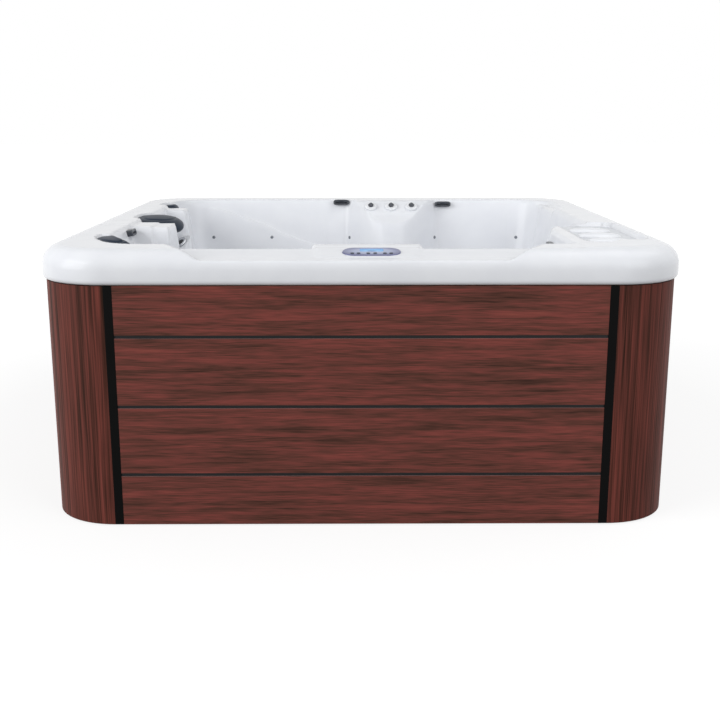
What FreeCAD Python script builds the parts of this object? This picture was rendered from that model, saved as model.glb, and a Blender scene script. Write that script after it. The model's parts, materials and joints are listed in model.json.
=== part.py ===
import FreeCAD, Part
import math
import os

from FreeCAD import Placement, Rotation, Vector

# Lengths are in millimetres. The middle of the floor is the origin, X runs to the right,
# Y to the back and Z up. The control panel is on the front, at minus Y.

# Whole tub
tub_width = 2100.0              # outside of the lip, left to right
tub_depth = 2100.0              # outside of the lip, front to back
tub_height = 910.0              # floor to the top of the rim
half_width = tub_width / 2
half_depth = tub_depth / 2
quarter_turn = 90.0             # degrees
half_turn = 180.0
full_turn = 360.0
overrun = 20.0                  # how far a cutter runs past what it cuts
fit_gap = 0.3                   # between pieces that sit against each other
running_gap = 0.05              # radial, between a turning pin and its hole
same_place = 0.01               # lengths under this count as none

# Lip and wall of the shell
shell_wall = 8.0                # acrylic with its bonded backing
lip_height = 111.0              # top of the rim to the lower edge of the lip
lip_corner_radius = 240.0
lip_top_radius = 65.0
lip_curl_radius = 16.0          # rounding where the lip turns under
lip_foot_width = 22.0           # turned-in foot of the lip
lip_foot_height = 26.0

# Basin with the seats. Shares along a side are of its half length.
rim_width = 180.0               # outer face of the lip to the inner edge of the rim
seat_height = 430.0             # floor to the lowest seats
seat_back_lean = 80.0           # how far the backs come in from the rim to the seats
basin_corner_radius = 150.0     # at the rim
footwell_width_share = 0.4
footwell_front_share = 0.476
footwell_back_share = 0.429
footwell_corner_radius = 150.0
footwell_floor = 110.0

# Armrests between the seats, with a top that falls to the front
armrest_width = 150.0
armrest_front_drop = 185.0      # below the rim
armrest_back_drop = 120.0
armrest_reach = 190.0           # from the foot of the seat back
left_armrest_share = 0.38
right_armrest_share = 0.314

# Ridges at rim height between the seats on the left
ridge_drop = 12.0               # below the rim
ridge_flare = 90.0              # how much further in they reach at the seats
front_ridge_end_shares = (-0.267, -0.105)
front_ridge_reach = 140.0       # from the inner edge of the rim
back_ridge_end_shares = (0.44, 0.533)
back_ridge_reach = 90.0

# Raised seats and the step for getting in
left_seat_raise = 40.0
left_seat_end_shares = (-0.15, 0.35)
right_seat_raise = 20.0
right_seat_end_shares = (-0.143, 0.28)
seat_edge_gap = 20.0            # footwell to the edge of a raised seat
step_raise = 90.0
step_end_shares = (-0.238, 0.429)

# Sloped deck at the back for the three valves
deck_end_shares = (-0.0286, 0.3333)
deck_depth = 350.0              # outer face of the lip to the edge of the deck
deck_edge_drop = 92.0           # below the rim
deck_tilt = 35.0                # degrees
deck_lean = 40.0                # how much further in the deck's front wall is at the seats

# Deck over the filter at the front right
filter_deck_width = 345.0       # outer face of the lip to the wall with the skimmer
filter_deck_end_share = -0.19
filter_deck_drop = 6.0          # below the rim

# Sunk front of the rim with the control panel, and the shelf behind the panel
console_width_share = 0.524
console_back_drop = 15.0        # at the basin
console_slope = 0.165
console_crease = 55.0           # lip to the line where the sunk front turns down
console_fall = 0.71             # slope in front of that line
shelf_end_shares = (-0.15, 0.209)
shelf_reach = 60.0              # into the basin
shelf_edge = 12.0               # height of its front edge
shelf_depth = 130.0             # top of the shelf to where it meets the seat back

# Skirt
skirt_inset = 11.0              # the lip stands this far out over the boards
skirt_top_gap = 2.0
skirt_floor_gap = 4.0
board_thickness = 14.0
board_end_gap = 0.5
first_joint_height = 176.0      # floor to the middle of the lowest joint
joint_pitch = 229.0
joint_count = 3
joint_height = 10.0
joint_recess = 3.0              # the joint strips stand back from the boards
corner_panel_radius = 229.0
trim_width = 28.0

# Timber frame and base
pan_thickness = 6.0
timber = 44.0                   # side of every timber
upright_shares = (-1.0, -0.34, 0.34, 1.0)
top_rail_drop = 80.0            # top of the rim to the top of the rails
cradle_shares = (-0.7, 0.0, 0.7)
cradle_end_gap = 60.0

# Pillows
pillow_length = 240.0
pillow_share = 0.0857           # middle of the pillow on the left
back_pillow_length = 140.0
back_pillow_share = 0.614
back_pillow_nose = 60.0
back_pillow_top_gap = 10.0
corner_pillow_radius = 250.0    # of the rim's edge that the corner pillow follows
pillow_recess_width = 48.0
pillow_recess_depth = 30.0
pillow_recess_gap = 4.0         # at each end of a pillow
pillow_nose = 124.0             # how far it stands out from the seat back
corner_pillow_nose = 80.0
pillow_drop = 65.0              # rim to its lower edge
pillow_top_gap = 3.0            # rim to its highest line
pillow_back_height = 15.0       # of its outer edge over the recess
pillow_channel = 6.0            # depth of the channel along the top
pillow_section_shares = (-1.0, -0.93, -0.7, -0.35, 0.0, 0.35, 0.7, 0.93, 1.0)
pillow_fullness_shares = (0.45, 0.72, 0.94, 0.985, 1.0, 0.985, 0.94, 0.72, 0.45)
pillow_nose_share = 0.12        # how far up the lower rounding of the nose bends

# Jets
jet_height_share = 0.4375       # of the way from the seats to the rim
jet_face_radius = 33.0
jet_face_height = 7.0
jet_face_rounding = 2.5
jet_mouth_radius = 16.0
jet_bore_radius = 9.0
jet_stem_radius = 15.0
jet_stem_length = 22.0
jet_socket_depth = 26.0
jet_barrel_radius = 22.0
jet_barrel_length = 62.0
jet_nut_radius = 31.0
jet_nut_height = 10.0
jet_grip_radius = 3.5
jet_grip_circle = 25.5
jet_grip_depth = 2.5
jet_grip_count = 6
wall_jet_shares = (
    ("left", -0.533),
    ("left", 0.0857),
    ("back", -0.571),
    ("back", -0.4),
    ("back", 0.4476),
    ("back", 0.5905),
    ("right", 0.019),
)
armrest_jet_inset = 48.0        # from the seat back to the jet on the armrest
pod_radius = 44.0               # round pod under the armrest jet
pod_length = 110.0
pod_clear = 30.0                # open space in front of the pod
pod_lean = 0.57                 # slope of the pod's top towards the seat back
pod_fall = 0.52                 # slope of its top towards the front

# Water and air mains behind the seat backs
main_offset = 75.0              # inner face of the seat back to the middle of a main
main_radius = 20.0
main_wall = 3.0
main_corner_radius = 110.0
main_start_share = 0.171        # right of the middle, on the front
main_end_share = -0.114         # on the right side
air_main_rise = 75.0
air_main_radius = 12.0
air_stub_radius = 5.0
jet_tail_radius = 9.0

# Water spouts
spout_half_length = 39.0
spout_half_height = 14.0
spout_reach = 28.0
spout_shoulder = 12.0
spout_slot_half_length = 32.0
spout_slot_height = 5.0
spout_slot_depth = 14.0
spout_stem_radius = 10.0
spout_stem_length = 45.0
back_spout_shares = (-0.078, 0.391)
back_spout_drops = (17.0, 22.0)  # below the rim
left_spout_share = -0.314
left_spout_drop = 26.0
filter_spout_share = -0.433
filter_spout_drop = 60.0

# Light points and the footwell light
light_height_share = 0.608      # of the way from the seats to the rim
light_point_radius = 6.5
light_point_rise = 2.5
light_point_stem = 4.0
light_point_length = 16.0
light_point_shares = (-0.667, -0.407, -0.041, 0.353, 0.657)
lamp_radius = 48.0
lamp_rise = 10.0
lamp_body_radius = 34.0
lamp_body_length = 60.0
lamp_height = 300.0

# Control panel
panel_middle = 33.0             # right of the middle of the tub
panel_from_lip = 114.0
panel_length = 188.0
panel_breadth = 82.0
panel_rise = 9.0
panel_rounding = 3.0
panel_box_length = 150.0
panel_box_breadth = 56.0
panel_box_depth = 34.0
window_length = 76.0
window_breadth = 32.0
window_shift = 11.0             # towards the basin
window_depth = 2.0
window_corner_radius = 8.0
key_radius = 6.0
key_rise = 1.6
key_length = 7.0
key_gap = 0.3
key_shift = 24.0                # towards the lip
inner_key_offset = 11.0         # from the middle of the panel
middle_key_offset = 42.0
outer_key_offset = 62.0

# Valves on the deck
valve_middle_share = 0.1495
valve_pitch = 97.0
valve_up_deck = 104.0           # from the edge of the deck, along its slope
valve_names = ("air_knob_left", "diverter_knob", "air_knob_right")
cap_names = ("air_cap_left", "diverter_cap", "air_cap_right")
knob_radius = 29.0
knob_height = 15.0
knob_rounding = 6.0
knob_grip_radius = 5.0
knob_grip_count = 3
knob_stem_radius = 9.0
knob_stem_length = 24.0
cap_radius = 12.5
cap_rise = 9.0
cap_depth = 5.0
cap_rounding = 2.5
cap_flat = 5.0                  # half width of the grip bar on the cap
cap_bar_height = 4.0
valve_barrel_radius = 20.0
valve_barrel_length = 105.0
valve_nut_radius = 29.0
valve_nut_height = 10.0
valve_tail_radius = 8.0

# Filter with its lid and skimmer
lid_end_shares = (-0.686, -0.219)
lid_margin = 85.0               # outer face of the lip to the lid's recess
lid_width = 203.0
lid_recess_depth = 25.0         # below the rim
lid_gap = 1.5
lid_plate = 7.0
lid_rib_count = 3
lid_rib_length = 160.0
lid_rib_half_width = 24.0
lid_rib_rise = 14.0
lid_ledge = 20.0
tank_wall = 5.0
tank_depth = 455.0              # rim to the bottom of the tank
mouth_end_shares = (-0.648, -0.505)
mouth_bottom_drop = 198.0       # below the rim
mouth_top_drop = 108.0
throat_wall = 4.0
throat_flange = 14.0
throat_flange_thickness = 4.0
weir_thickness = 5.0
weir_side_gap = 0.8
weir_top_gap = 3.0
weir_knuckle_radius = 5.0
weir_pin_radius = 2.5
weir_floor_gap = 1.5
weir_inset = 16.0               # wall of the deck to the hinge
cartridge_radius = 66.0
cartridge_root_radius = 52.0
cartridge_core_radius = 24.0
cartridge_pleat_count = 28
cartridge_cap_height = 14.0
cartridge_height = 330.0
cartridge_share = -0.3286

# Footwell fittings
fitting_height = 195.0
suction_shares = (-0.19, -0.038)
return_share = 0.114
cover_radius = 54.0
cover_rise = 12.0
cover_rounding = 5.0
cover_hole_radius = 4.0
inner_hole_circle = 16.0
inner_hole_count = 6
outer_hole_circle = 32.0
outer_hole_count = 12
fitting_radius = 27.0
fitting_length = 40.0
fitting_nut_radius = 42.0
fitting_nut_height = 12.0
return_cover_radius = 38.0
drain_share = -0.324
drain_height = 160.0

# Massage pump
pump_line_share = 0.705         # middle of the tub to the pump's axis, towards the front
pump_inlet_run = 110.0          # end of the pump to the first suction fitting
motor_length = 250.0
motor_radius = 80.0
motor_rib_count = 10
motor_rib_rise = 6.0
motor_rib_thickness = 5.0
motor_foot_width = 150.0
motor_foot_length = 180.0
wet_end_radius = 95.0
wet_end_length = 80.0
wet_end_wall = 14.0
spigot_length = 36.0
spigot_radius = 28.0
pipe_radius = 24.0
pipe_wall = 3.0
pipe_bend = 60.0
impeller_radius = 72.0
impeller_disc = 8.0
impeller_vane_height = 16.0
impeller_vane_thickness = 5.0
impeller_vane_count = 5
impeller_hub_radius = 20.0
impeller_side_gap = 5.0
shaft_radius = 8.0
shaft_length = 90.0

# Circulation pump, heater and control box
heater_line_share = 0.6095
heater_run = 100.0              # return fitting to the heater
heater_length = 300.0
heater_radius = 32.0
heater_union_radius = 42.0
heater_union_length = 26.0
saddle_width = 50.0
saddle_length = 30.0
circulation_gap = 70.0          # heater to the circulation pump
circulation_length = 130.0
circulation_radius = 52.0
small_pipe_radius = 18.0
control_box_share = 0.19        # left end of the box
control_box_length = 300.0
control_box_gap = 31.0          # frame to the box
control_box_depth = 120.0
control_box_height = 250.0
control_box_rounding = 12.0
gland_radius = 12.0
gland_length = 22.0

# Drain valve
drain_body_radius = 18.0
drain_body_length = 120.0
drain_block = 46.0
drain_spindle_radius = 6.0
drain_spindle_rise = 10.0
drain_handle_length = 62.0
drain_handle_width = 16.0
drain_handle_thickness = 6.0

lip_bottom = tub_height - lip_height
lean_slope = seat_back_lean / (tub_height - seat_height)
lean_angle = math.atan(lean_slope)
skirt_half_width = half_width - skirt_inset
skirt_half_depth = half_depth - skirt_inset
frame_half_width = skirt_half_width - board_thickness
frame_half_depth = skirt_half_depth - board_thickness

footwell_half_width = footwell_width_share * half_width
footwell_front = footwell_front_share * half_depth
footwell_back = footwell_back_share * half_depth
back_height = tub_height - seat_height
deck_edge = half_depth - deck_depth
deck_edge_height = tub_height - deck_edge_drop
deck_foot = deck_edge - deck_lean
filter_deck_edge = half_width - filter_deck_width
console_half_width = console_width_share * half_width
armrest_front_height = tub_height - armrest_front_drop
armrest_back_height = tub_height - armrest_back_drop
left_armrest = left_armrest_share * half_depth
right_armrest = right_armrest_share * half_depth
jet_height = seat_height + jet_height_share * back_height
light_point_height = seat_height + light_height_share * back_height
jet_main_height = jet_height - main_offset * lean_slope
main_start = main_start_share * half_width
main_end = main_end_share * half_depth
lid_outer = half_width - lid_margin
lid_inner = lid_outer - lid_width
lid_ends = [share * half_depth for share in lid_end_shares]
mouth_ends = [share * half_depth for share in mouth_end_shares]
mouth_bottom = tub_height - mouth_bottom_drop
mouth_top = tub_height - mouth_top_drop
tank_floor = tub_height - tank_depth
cartridge_along = cartridge_share * half_depth
key_offsets = (
    -outer_key_offset, -middle_key_offset, -inner_key_offset,
    inner_key_offset, middle_key_offset, outer_key_offset,
)
suction_places = [share * half_width for share in suction_shares]
return_place = return_share * half_width
drain_place = drain_share * half_width
pump_line = pump_line_share * half_depth
motor_end = suction_places[0] - pump_inlet_run - wet_end_length - motor_length
heater_line = heater_line_share * half_depth
heater_start = return_place + heater_run
circulation_start = heater_start + heater_length + circulation_gap
control_box_start = control_box_share * half_width
control_box_front = frame_half_depth - timber - control_box_gap

up = Vector(0, 0, 1)
to_right = Vector(1, 0, 0)
to_back = Vector(0, 1, 0)


# Plain shapes

def block(x_low, x_high, y_low, y_high, z_low, z_high):
    """Box between two corners."""
    return Part.makeBox(x_high - x_low, y_high - y_low, z_high - z_low, Vector(x_low, y_low, z_low))


def rod(start, axis, radius, length):
    """Round bar from a point along an axis."""
    return Part.makeCylinder(radius, length, start, axis)


def rod_between(start, end, radius):
    """Round bar from one point to another."""
    return Part.makeCylinder(radius, (end - start).Length, start, end - start)


def join(shapes):
    """One solid from shapes that overlap or share a face."""
    whole = shapes[0]
    for shape in shapes[1:]:
        whole = whole.fuse(shape)
    return whole.removeSplitter()


def cut_all(shape, cutters):
    """The shape with every cutter taken away."""
    for cutter in cutters:
        shape = shape.cut(cutter)
    return shape


def rounded_outline(x_low, x_high, y_low, y_high, radius, z):
    """Closed outline of a rectangle with rounded corners, anticlockwise."""
    corners = (
        (x_high - radius, y_low + radius, -quarter_turn),
        (x_high - radius, y_high - radius, 0),
        (x_low + radius, y_high - radius, quarter_turn),
        (x_low + radius, y_low + radius, half_turn),
    )
    arcs = []
    for x, y, start in corners:
        circle = Part.Circle(Vector(x, y, z), up, radius)
        first = math.radians(start)
        arcs.append(Part.Arc(circle, first, first + math.pi / 2).toShape())
    edges = []
    for index, arc in enumerate(arcs):
        following = arcs[(index + 1) % len(arcs)]
        edges.append(arc)
        gap_start = arc.Vertexes[-1].Point
        gap_end = following.Vertexes[0].Point
        if (gap_end - gap_start).Length > same_place:
            edges.append(Part.makeLine(gap_start, gap_end))
    return Part.Wire(Part.__sortEdges__(edges))


def rounded_prism(x_low, x_high, y_low, y_high, radius, z_low, z_high):
    """Upright block with rounded corners."""
    outline = rounded_outline(x_low, x_high, y_low, y_high, radius, z_low)
    return Part.Face(outline).extrude(Vector(0, 0, z_high - z_low))


def polygon_prism(points, travel):
    """Prism on a closed polygon."""
    return Part.Face(Part.makePolygon(points + [points[0]])).extrude(travel)


def edges_at_height(shape, z):
    """Edges that lie wholly at one height."""
    found = []
    for edge in shape.Edges:
        box = edge.BoundBox
        if abs(box.ZMin - z) < same_place and abs(box.ZMax - z) < same_place:
            found.append(edge)
    return found


def placed(shape, origin, normal):
    """Copy of a shape with its own Z axis turned to a normal and its origin moved to a point."""
    along = up.cross(normal)
    if along.Length < same_place:
        along = to_right
    upward = normal.cross(along)
    turn = Rotation(along, upward, normal, "ZXY")
    copy = shape.copy()
    copy.Placement = Placement(origin, turn)
    return copy


def pipe(points, outer, wall, bend):
    """Hollow pipe through straight runs, with round bends of one radius between them."""
    edges = []
    start = points[0]
    for before, corner, after in zip(points, points[1:], points[2:]):
        back = (before - corner).normalize()
        ahead = (after - corner).normalize()
        middle = corner + (back + ahead) * bend
        entry = corner + back * bend
        leaving = corner + ahead * bend
        crown = middle + (corner - middle).normalize() * bend
        if (entry - start).Length > same_place:
            edges.append(Part.makeLine(start, entry))
        edges.append(Part.Arc(entry, crown, leaving).toShape())
        start = leaving
    edges.append(Part.makeLine(start, points[-1]))
    path = Part.Wire(edges)
    first_run = points[1] - points[0]
    tubes = []
    for radius in (outer, outer - wall):
        ring = Part.Wire(Part.makeCircle(radius, points[0], first_run))
        tubes.append(path.makePipeShell([ring], True, False))
    return tubes[0].cut(tubes[1])


# Places on the walls of the basin

def wall_distance(half, z):
    """Middle of the tub to the inner face of a seat back, at one height."""
    return half - rim_width - (tub_height - z) * lean_slope


def wall_place(side, along, z):
    """Point on the inner face of a seat back, and its normal into the tub."""
    inward = math.cos(lean_angle)
    upward = math.sin(lean_angle)
    if side == "left":
        return Vector(-wall_distance(half_width, z), along, z), Vector(inward, 0, upward)
    if side == "right":
        return Vector(wall_distance(half_width, z), along, z), Vector(-inward, 0, upward)
    return Vector(along, wall_distance(half_depth, z), z), Vector(0, -inward, upward)


def deck_place(x, up_slope):
    """Point on the valve deck, and its normal."""
    tilt = math.radians(deck_tilt)
    y = deck_edge + up_slope * math.cos(tilt)
    z = deck_edge_height + up_slope * math.sin(tilt)
    return Vector(x, y, z), Vector(0, -math.sin(tilt), math.cos(tilt))


def armrest_place():
    """Point on top of the pod on the rear left armrest, and its normal."""
    z = (armrest_back_height + armrest_front_height) / 2
    x = -wall_distance(half_width, z) + armrest_jet_inset
    return Vector(x, left_armrest, z), Vector(-pod_lean, -pod_fall, 1).normalize()


def console_place(x, from_lip):
    """Point on the sunk front of the rim, and its normal."""
    z = tub_height - console_back_drop - (rim_width - from_lip) * console_slope
    return Vector(x, from_lip - half_depth, z), Vector(0, -console_slope, 1).normalize()


def jet_places():
    """Points and normals of all jets, the armrest jet last."""
    places = []
    for side, share in wall_jet_shares:
        half = half_width if side == "back" else half_depth
        places.append(wall_place(side, share * half, jet_height))
    places.append(armrest_place())
    return places


def valve_places():
    """Points and normals of the three valves, left to right."""
    offsets = (-valve_pitch, 0, valve_pitch)
    middle = valve_middle_share * half_width
    return [deck_place(middle + offset, valve_up_deck) for offset in offsets]


def spout_places():
    """Points and normals of the four spouts."""
    places = []
    for share, drop in zip(back_spout_shares, back_spout_drops):
        places.append(wall_place("back", share * half_width, tub_height - drop))
    places.append(wall_place("left", left_spout_share * half_depth, tub_height - left_spout_drop))
    deck_spout = Vector(filter_deck_edge, filter_spout_share * half_depth, tub_height - filter_spout_drop)
    places.append((deck_spout, Vector(-1, 0, 0)))
    return places


def light_point_places():
    """Points and normals of the small lights on the back."""
    return [wall_place("back", share * half_width, light_point_height) for share in light_point_shares]


# Shell

def tapered_space(half_x, half_y, radius, z_low, z_high, lean):
    """Rounded block that narrows downwards; half sizes and radius are those at its top."""
    x_in = half_x - radius
    y_in = half_y - radius
    rise = Vector(0, 0, z_low)
    across = [
        Vector(lean - half_x, -y_in, 0) + rise,
        Vector(half_x - lean, -y_in, 0) + rise,
        Vector(half_x, -y_in, z_high),
        Vector(-half_x, -y_in, z_high),
    ]
    along = [
        Vector(-x_in, lean - half_y, 0) + rise,
        Vector(-x_in, half_y - lean, 0) + rise,
        Vector(-x_in, half_y, z_high),
        Vector(-x_in, -half_y, z_high),
    ]
    pieces = [
        polygon_prism(across, Vector(0, 2 * y_in, 0)),
        polygon_prism(along, Vector(2 * x_in, 0, 0)),
    ]
    for x in (-x_in, x_in):
        for y in (-y_in, y_in):
            pieces.append(Part.makeCone(radius - lean, radius, z_high - z_low, Vector(x, y, z_low)))
    return join(pieces)


def basin_space(grow, z_high):
    """Space of the seats, grown on all sides."""
    z_low = seat_height - grow
    radius = basin_corner_radius + (z_high - tub_height) * lean_slope + grow
    half_x = wall_distance(half_width, z_high) + grow
    half_y = wall_distance(half_depth, z_high) + grow
    return tapered_space(half_x, half_y, radius, z_low, z_high, (z_high - z_low) * lean_slope)


def footwell_space(grow):
    """Space of the footwell, grown on all sides."""
    half = footwell_half_width + grow
    return rounded_prism(
        -half, half,
        -footwell_front - grow, footwell_back + grow,
        footwell_corner_radius + grow,
        footwell_floor - grow, seat_height + overrun,
    )


def side_prism(side, section, ends, shrink):
    """Prism along one side of the tub; the section is in distance from the middle and height."""
    points = []
    for distance, z in section:
        if side == "left":
            points.append(Vector(-distance, ends[0] + shrink, z))
        elif side == "right":
            points.append(Vector(distance, ends[0] + shrink, z))
        elif side == "back":
            points.append(Vector(ends[0] + shrink, distance, z))
        else:
            points.append(Vector(ends[0] + shrink, -distance, z))
    outline = Part.makePolygon(points + [points[0]])
    if shrink > 0:
        outline = outline.makeOffset2D(-shrink, 2, False, False, False)
    length = ends[1] - ends[0] - 2 * shrink
    travel = to_back * length if side in ("left", "right") else to_right * length
    return Part.Face(outline).extrude(travel)


def behind(half):
    """Distance from the middle that is well behind a seat back."""
    return wall_distance(half, tub_height) + 3 * shell_wall


def step_section(half, edge, height):
    """Section of a flat raised seat from its edge to behind the seat back."""
    foot = seat_height - overrun
    return ((behind(half), foot), (edge, foot), (edge, height), (behind(half), height))


def armrest(side, middle, shrink):
    """Armrest from the seat back towards the footwell, its top falling to the front."""
    half = armrest_width / 2 - shrink
    slope = (armrest_back_height - armrest_front_height) / armrest_width
    drop = shrink * math.hypot(1, slope)
    mean = (armrest_back_height + armrest_front_height) / 2 - drop
    foot = seat_height - overrun + shrink
    inner = wall_distance(half_width, seat_height) - armrest_reach + shrink
    outer = behind(half_width) - shrink
    sign = -1 if side == "left" else 1
    section = [
        Vector(sign * inner, middle - half, foot),
        Vector(sign * inner, middle + half, foot),
        Vector(sign * inner, middle + half, mean + half * slope),
        Vector(sign * inner, middle - half, mean - half * slope),
    ]
    return polygon_prism(section, Vector(sign * (outer - inner), 0, 0))


def ridge_section(reach):
    """Section of a ridge at rim height, wider at the seats than at its top."""
    foot = seat_height - overrun
    top = tub_height - ridge_drop
    edge = wall_distance(half_width, tub_height) - reach
    outer = behind(half_width)
    return ((outer, foot), (edge - ridge_flare, foot), (edge, top), (outer, top))


def deck_section():
    """Section of the valve deck, cut off at the height of the rim."""
    foot = seat_height - overrun
    outer = behind(half_depth)
    rise = math.tan(math.radians(deck_tilt))
    return (
        (outer, foot),
        (deck_foot, foot),
        (deck_edge, deck_edge_height),
        (deck_edge + deck_edge_drop / rise, tub_height),
        (outer, tub_height),
    )


def shelf_section():
    """Section of the shelf that carries the back of the control panel."""
    outer = behind(half_depth)
    top = tub_height - console_back_drop
    edge = wall_distance(half_depth, tub_height) - shelf_reach
    low = top - shelf_depth
    return (
        (outer, low),
        (wall_distance(half_depth, low) - shell_wall / 4, low),
        (edge, top - shelf_edge),
        (edge, top),
        (outer, top),
    )


def ends_on(half, shares):
    """Both ends of a form along a side, from shares of its half length."""
    return [share * half for share in shares]


def jet_pod(shrink):
    """Round pod that carries the jet on the armrest."""
    point, normal = armrest_place()
    return rod(point - normal * pod_length, normal, pod_radius - shrink, pod_length - shrink)


def pod_well(grow):
    """Open space in front of the pod, grown on all sides."""
    point, normal = armrest_place()
    return rod(point - normal * grow, normal, pod_radius + grow, pod_clear + grow)


def raised_forms(shrink):
    """Everything that stands up inside the basin, shrunk on all sides."""
    filter_section = step_section(half_width, filter_deck_edge, tub_height - filter_deck_drop)
    filter_ends = (-behind(half_depth), filter_deck_end_share * half_depth)
    seat_edge = footwell_half_width + seat_edge_gap
    left_section = step_section(half_width, seat_edge, seat_height + left_seat_raise)
    right_section = step_section(half_width, seat_edge, seat_height + right_seat_raise)
    front_section = step_section(half_depth, footwell_front + seat_edge_gap, seat_height + step_raise)
    forms = [
        side_prism("back", deck_section(), ends_on(half_width, deck_end_shares), shrink),
        side_prism("right", filter_section, filter_ends, shrink),
        side_prism("left", left_section, ends_on(half_depth, left_seat_end_shares), shrink),
        side_prism("right", right_section, ends_on(half_depth, right_seat_end_shares), shrink),
        side_prism("front", front_section, ends_on(half_width, step_end_shares), shrink),
        side_prism("front", shelf_section(), ends_on(half_width, shelf_end_shares), shrink),
        armrest("left", left_armrest, shrink),
        armrest("right", right_armrest, shrink),
        jet_pod(shrink),
    ]
    ridges = (
        (front_ridge_reach, front_ridge_end_shares),
        (back_ridge_reach, back_ridge_end_shares),
    )
    for reach, shares in ridges:
        forms.append(side_prism("left", ridge_section(reach), ends_on(half_depth, shares), shrink))
    return forms


def corner_pillow_centre(z):
    """Point that the corner pillow bends round."""
    x = corner_pillow_radius - wall_distance(half_width, tub_height)
    y = corner_pillow_radius - wall_distance(half_depth, tub_height)
    return Vector(x, y, z)


def rim_pockets(grow, z_high):
    """Recesses in the rim for the pillows and the filter lid, grown on all sides."""
    pockets = []
    edge = wall_distance(half_width, tub_height)
    inner = wall_distance(half_width, tub_height - pillow_recess_depth) - shell_wall
    z_low = tub_height - pillow_recess_depth - grow
    for share, length in ((pillow_share, pillow_length), (back_pillow_share, back_pillow_length)):
        middle = share * half_depth
        half = length / 2 + pillow_recess_gap + grow
        pockets.append(block(
            -edge - pillow_recess_width - grow, -inner,
            middle - half, middle + half, z_low, z_high,
        ))
    centre = corner_pillow_centre(z_low)
    radius = corner_pillow_radius + pillow_recess_width + grow
    disc = rod(centre, up, radius, z_high - z_low)
    end = pillow_recess_gap + grow
    pockets.append(disc.common(block(
        centre.x - radius, centre.x + end, centre.y - radius, centre.y + end, z_low, z_high,
    )))
    pockets.append(block(
        lid_inner - grow, lid_outer + grow,
        lid_ends[0] - grow, lid_ends[1] + grow,
        tub_height - lid_recess_depth - grow, z_high,
    ))
    return pockets


def tub_space(grow):
    """The whole space inside the tub, as it is or grown by the wall."""
    z_high = tub_height - grow / 2 if grow > 0 else tub_height + overrun
    space = basin_space(grow, z_high).fuse(footwell_space(grow))
    space = cut_all(space, raised_forms(grow)).fuse(pod_well(grow))
    for pocket in rim_pockets(grow, z_high):
        space = space.fuse(pocket)
    return space


def console_cutter(drop):
    """Prism that sinks the front of the rim: a gentle slope, then a steeper one to the lip."""
    front = -half_depth - overrun
    crease = console_crease - half_depth
    back = -wall_distance(half_depth, tub_height) + overrun
    high = tub_height - console_back_drop + overrun * console_slope - drop
    crease_height = high - (back - crease) * console_slope
    low = crease_height - (crease - front) * console_fall
    top = tub_height + overrun
    section = [
        Vector(-console_half_width, front, low),
        Vector(-console_half_width, crease, crease_height),
        Vector(-console_half_width, back, high),
        Vector(-console_half_width, back, top),
        Vector(-console_half_width, front, top),
    ]
    return polygon_prism(section, Vector(2 * console_half_width, 0, 0))


def rim_tray():
    """Rim and rolled lip, closed over the basin."""
    outer = rounded_prism(
        -half_width, half_width, -half_depth, half_depth,
        lip_corner_radius, lip_bottom, tub_height,
    )
    outer = outer.makeFillet(lip_top_radius, edges_at_height(outer, tub_height))
    outer = outer.makeFillet(lip_curl_radius, edges_at_height(outer, lip_bottom))
    inner = rounded_prism(
        shell_wall - half_width, half_width - shell_wall,
        shell_wall - half_depth, half_depth - shell_wall,
        lip_corner_radius - shell_wall, lip_bottom + lip_foot_height, tub_height - shell_wall,
    )
    inner = inner.makeFillet(
        lip_top_radius - shell_wall, edges_at_height(inner, tub_height - shell_wall))
    foot = rounded_prism(
        lip_foot_width - half_width, half_width - lip_foot_width,
        lip_foot_width - half_depth, half_depth - lip_foot_width,
        lip_corner_radius - lip_foot_width, lip_bottom - overrun, lip_bottom + lip_foot_height + overrun,
    )
    outer = outer.cut(console_cutter(0))
    inner = inner.cut(console_cutter(shell_wall))
    return outer.cut(inner).cut(foot)


def hole(place, radius, depth):
    """Round cutter through the wall at a place."""
    point, normal = place
    return rod(point + normal * overrun, -normal, radius, depth + overrun)


def fitting_places():
    """Points and normals of the fittings in the front wall of the footwell."""
    places = [Vector(x, -footwell_front, fitting_height) for x in suction_places]
    places.append(Vector(return_place, -footwell_front, fitting_height))
    return [(point, to_back) for point in places]


def drain_place_point():
    """Point and normal of the drain in the front wall of the footwell."""
    return Vector(drain_place, -footwell_front, drain_height), to_back


def lamp_place():
    """Point and normal of the light in the back wall of the footwell."""
    return Vector(0, footwell_back, lamp_height), -to_back


def shell_holes():
    """Cutters for everything that passes through the shell."""
    depth = 2 * shell_wall
    cutters = [hole(place, jet_barrel_radius + fit_gap, depth) for place in jet_places()]
    cutters += [hole(place, valve_barrel_radius + fit_gap, depth) for place in valve_places()]
    cutters += [hole(place, spout_stem_radius + fit_gap, depth) for place in spout_places()]
    cutters += [hole(place, light_point_stem + fit_gap, depth) for place in light_point_places()]
    cutters += [hole(place, fitting_radius + fit_gap, depth) for place in fitting_places()]
    cutters.append(hole(drain_place_point(), drain_body_radius + fit_gap, depth))
    cutters.append(hole(lamp_place(), lamp_body_radius + fit_gap, depth))
    cutters.append(panel_cutter())
    cutters.append(block(
        filter_deck_edge - overrun, filter_deck_edge + depth,
        mouth_ends[0], mouth_ends[1], mouth_bottom, mouth_top,
    ))
    cutters.append(block(
        lid_inner + lid_ledge, lid_outer - lid_ledge,
        lid_ends[0] + lid_ledge, lid_ends[1] - lid_ledge,
        tub_height - lid_recess_depth - depth, tub_height,
    ))
    return cutters


def acrylic_shell():
    """Thin-walled shell: lip, rim, seats and footwell in one moulding."""
    body = rim_tray().fuse(tub_space(shell_wall))
    body = body.cut(tub_space(0))
    return cut_all(body, shell_holes())


# Skirt

def joint_middles():
    """Heights of the joints between the boards."""
    return [first_joint_height + index * joint_pitch for index in range(joint_count)]


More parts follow.
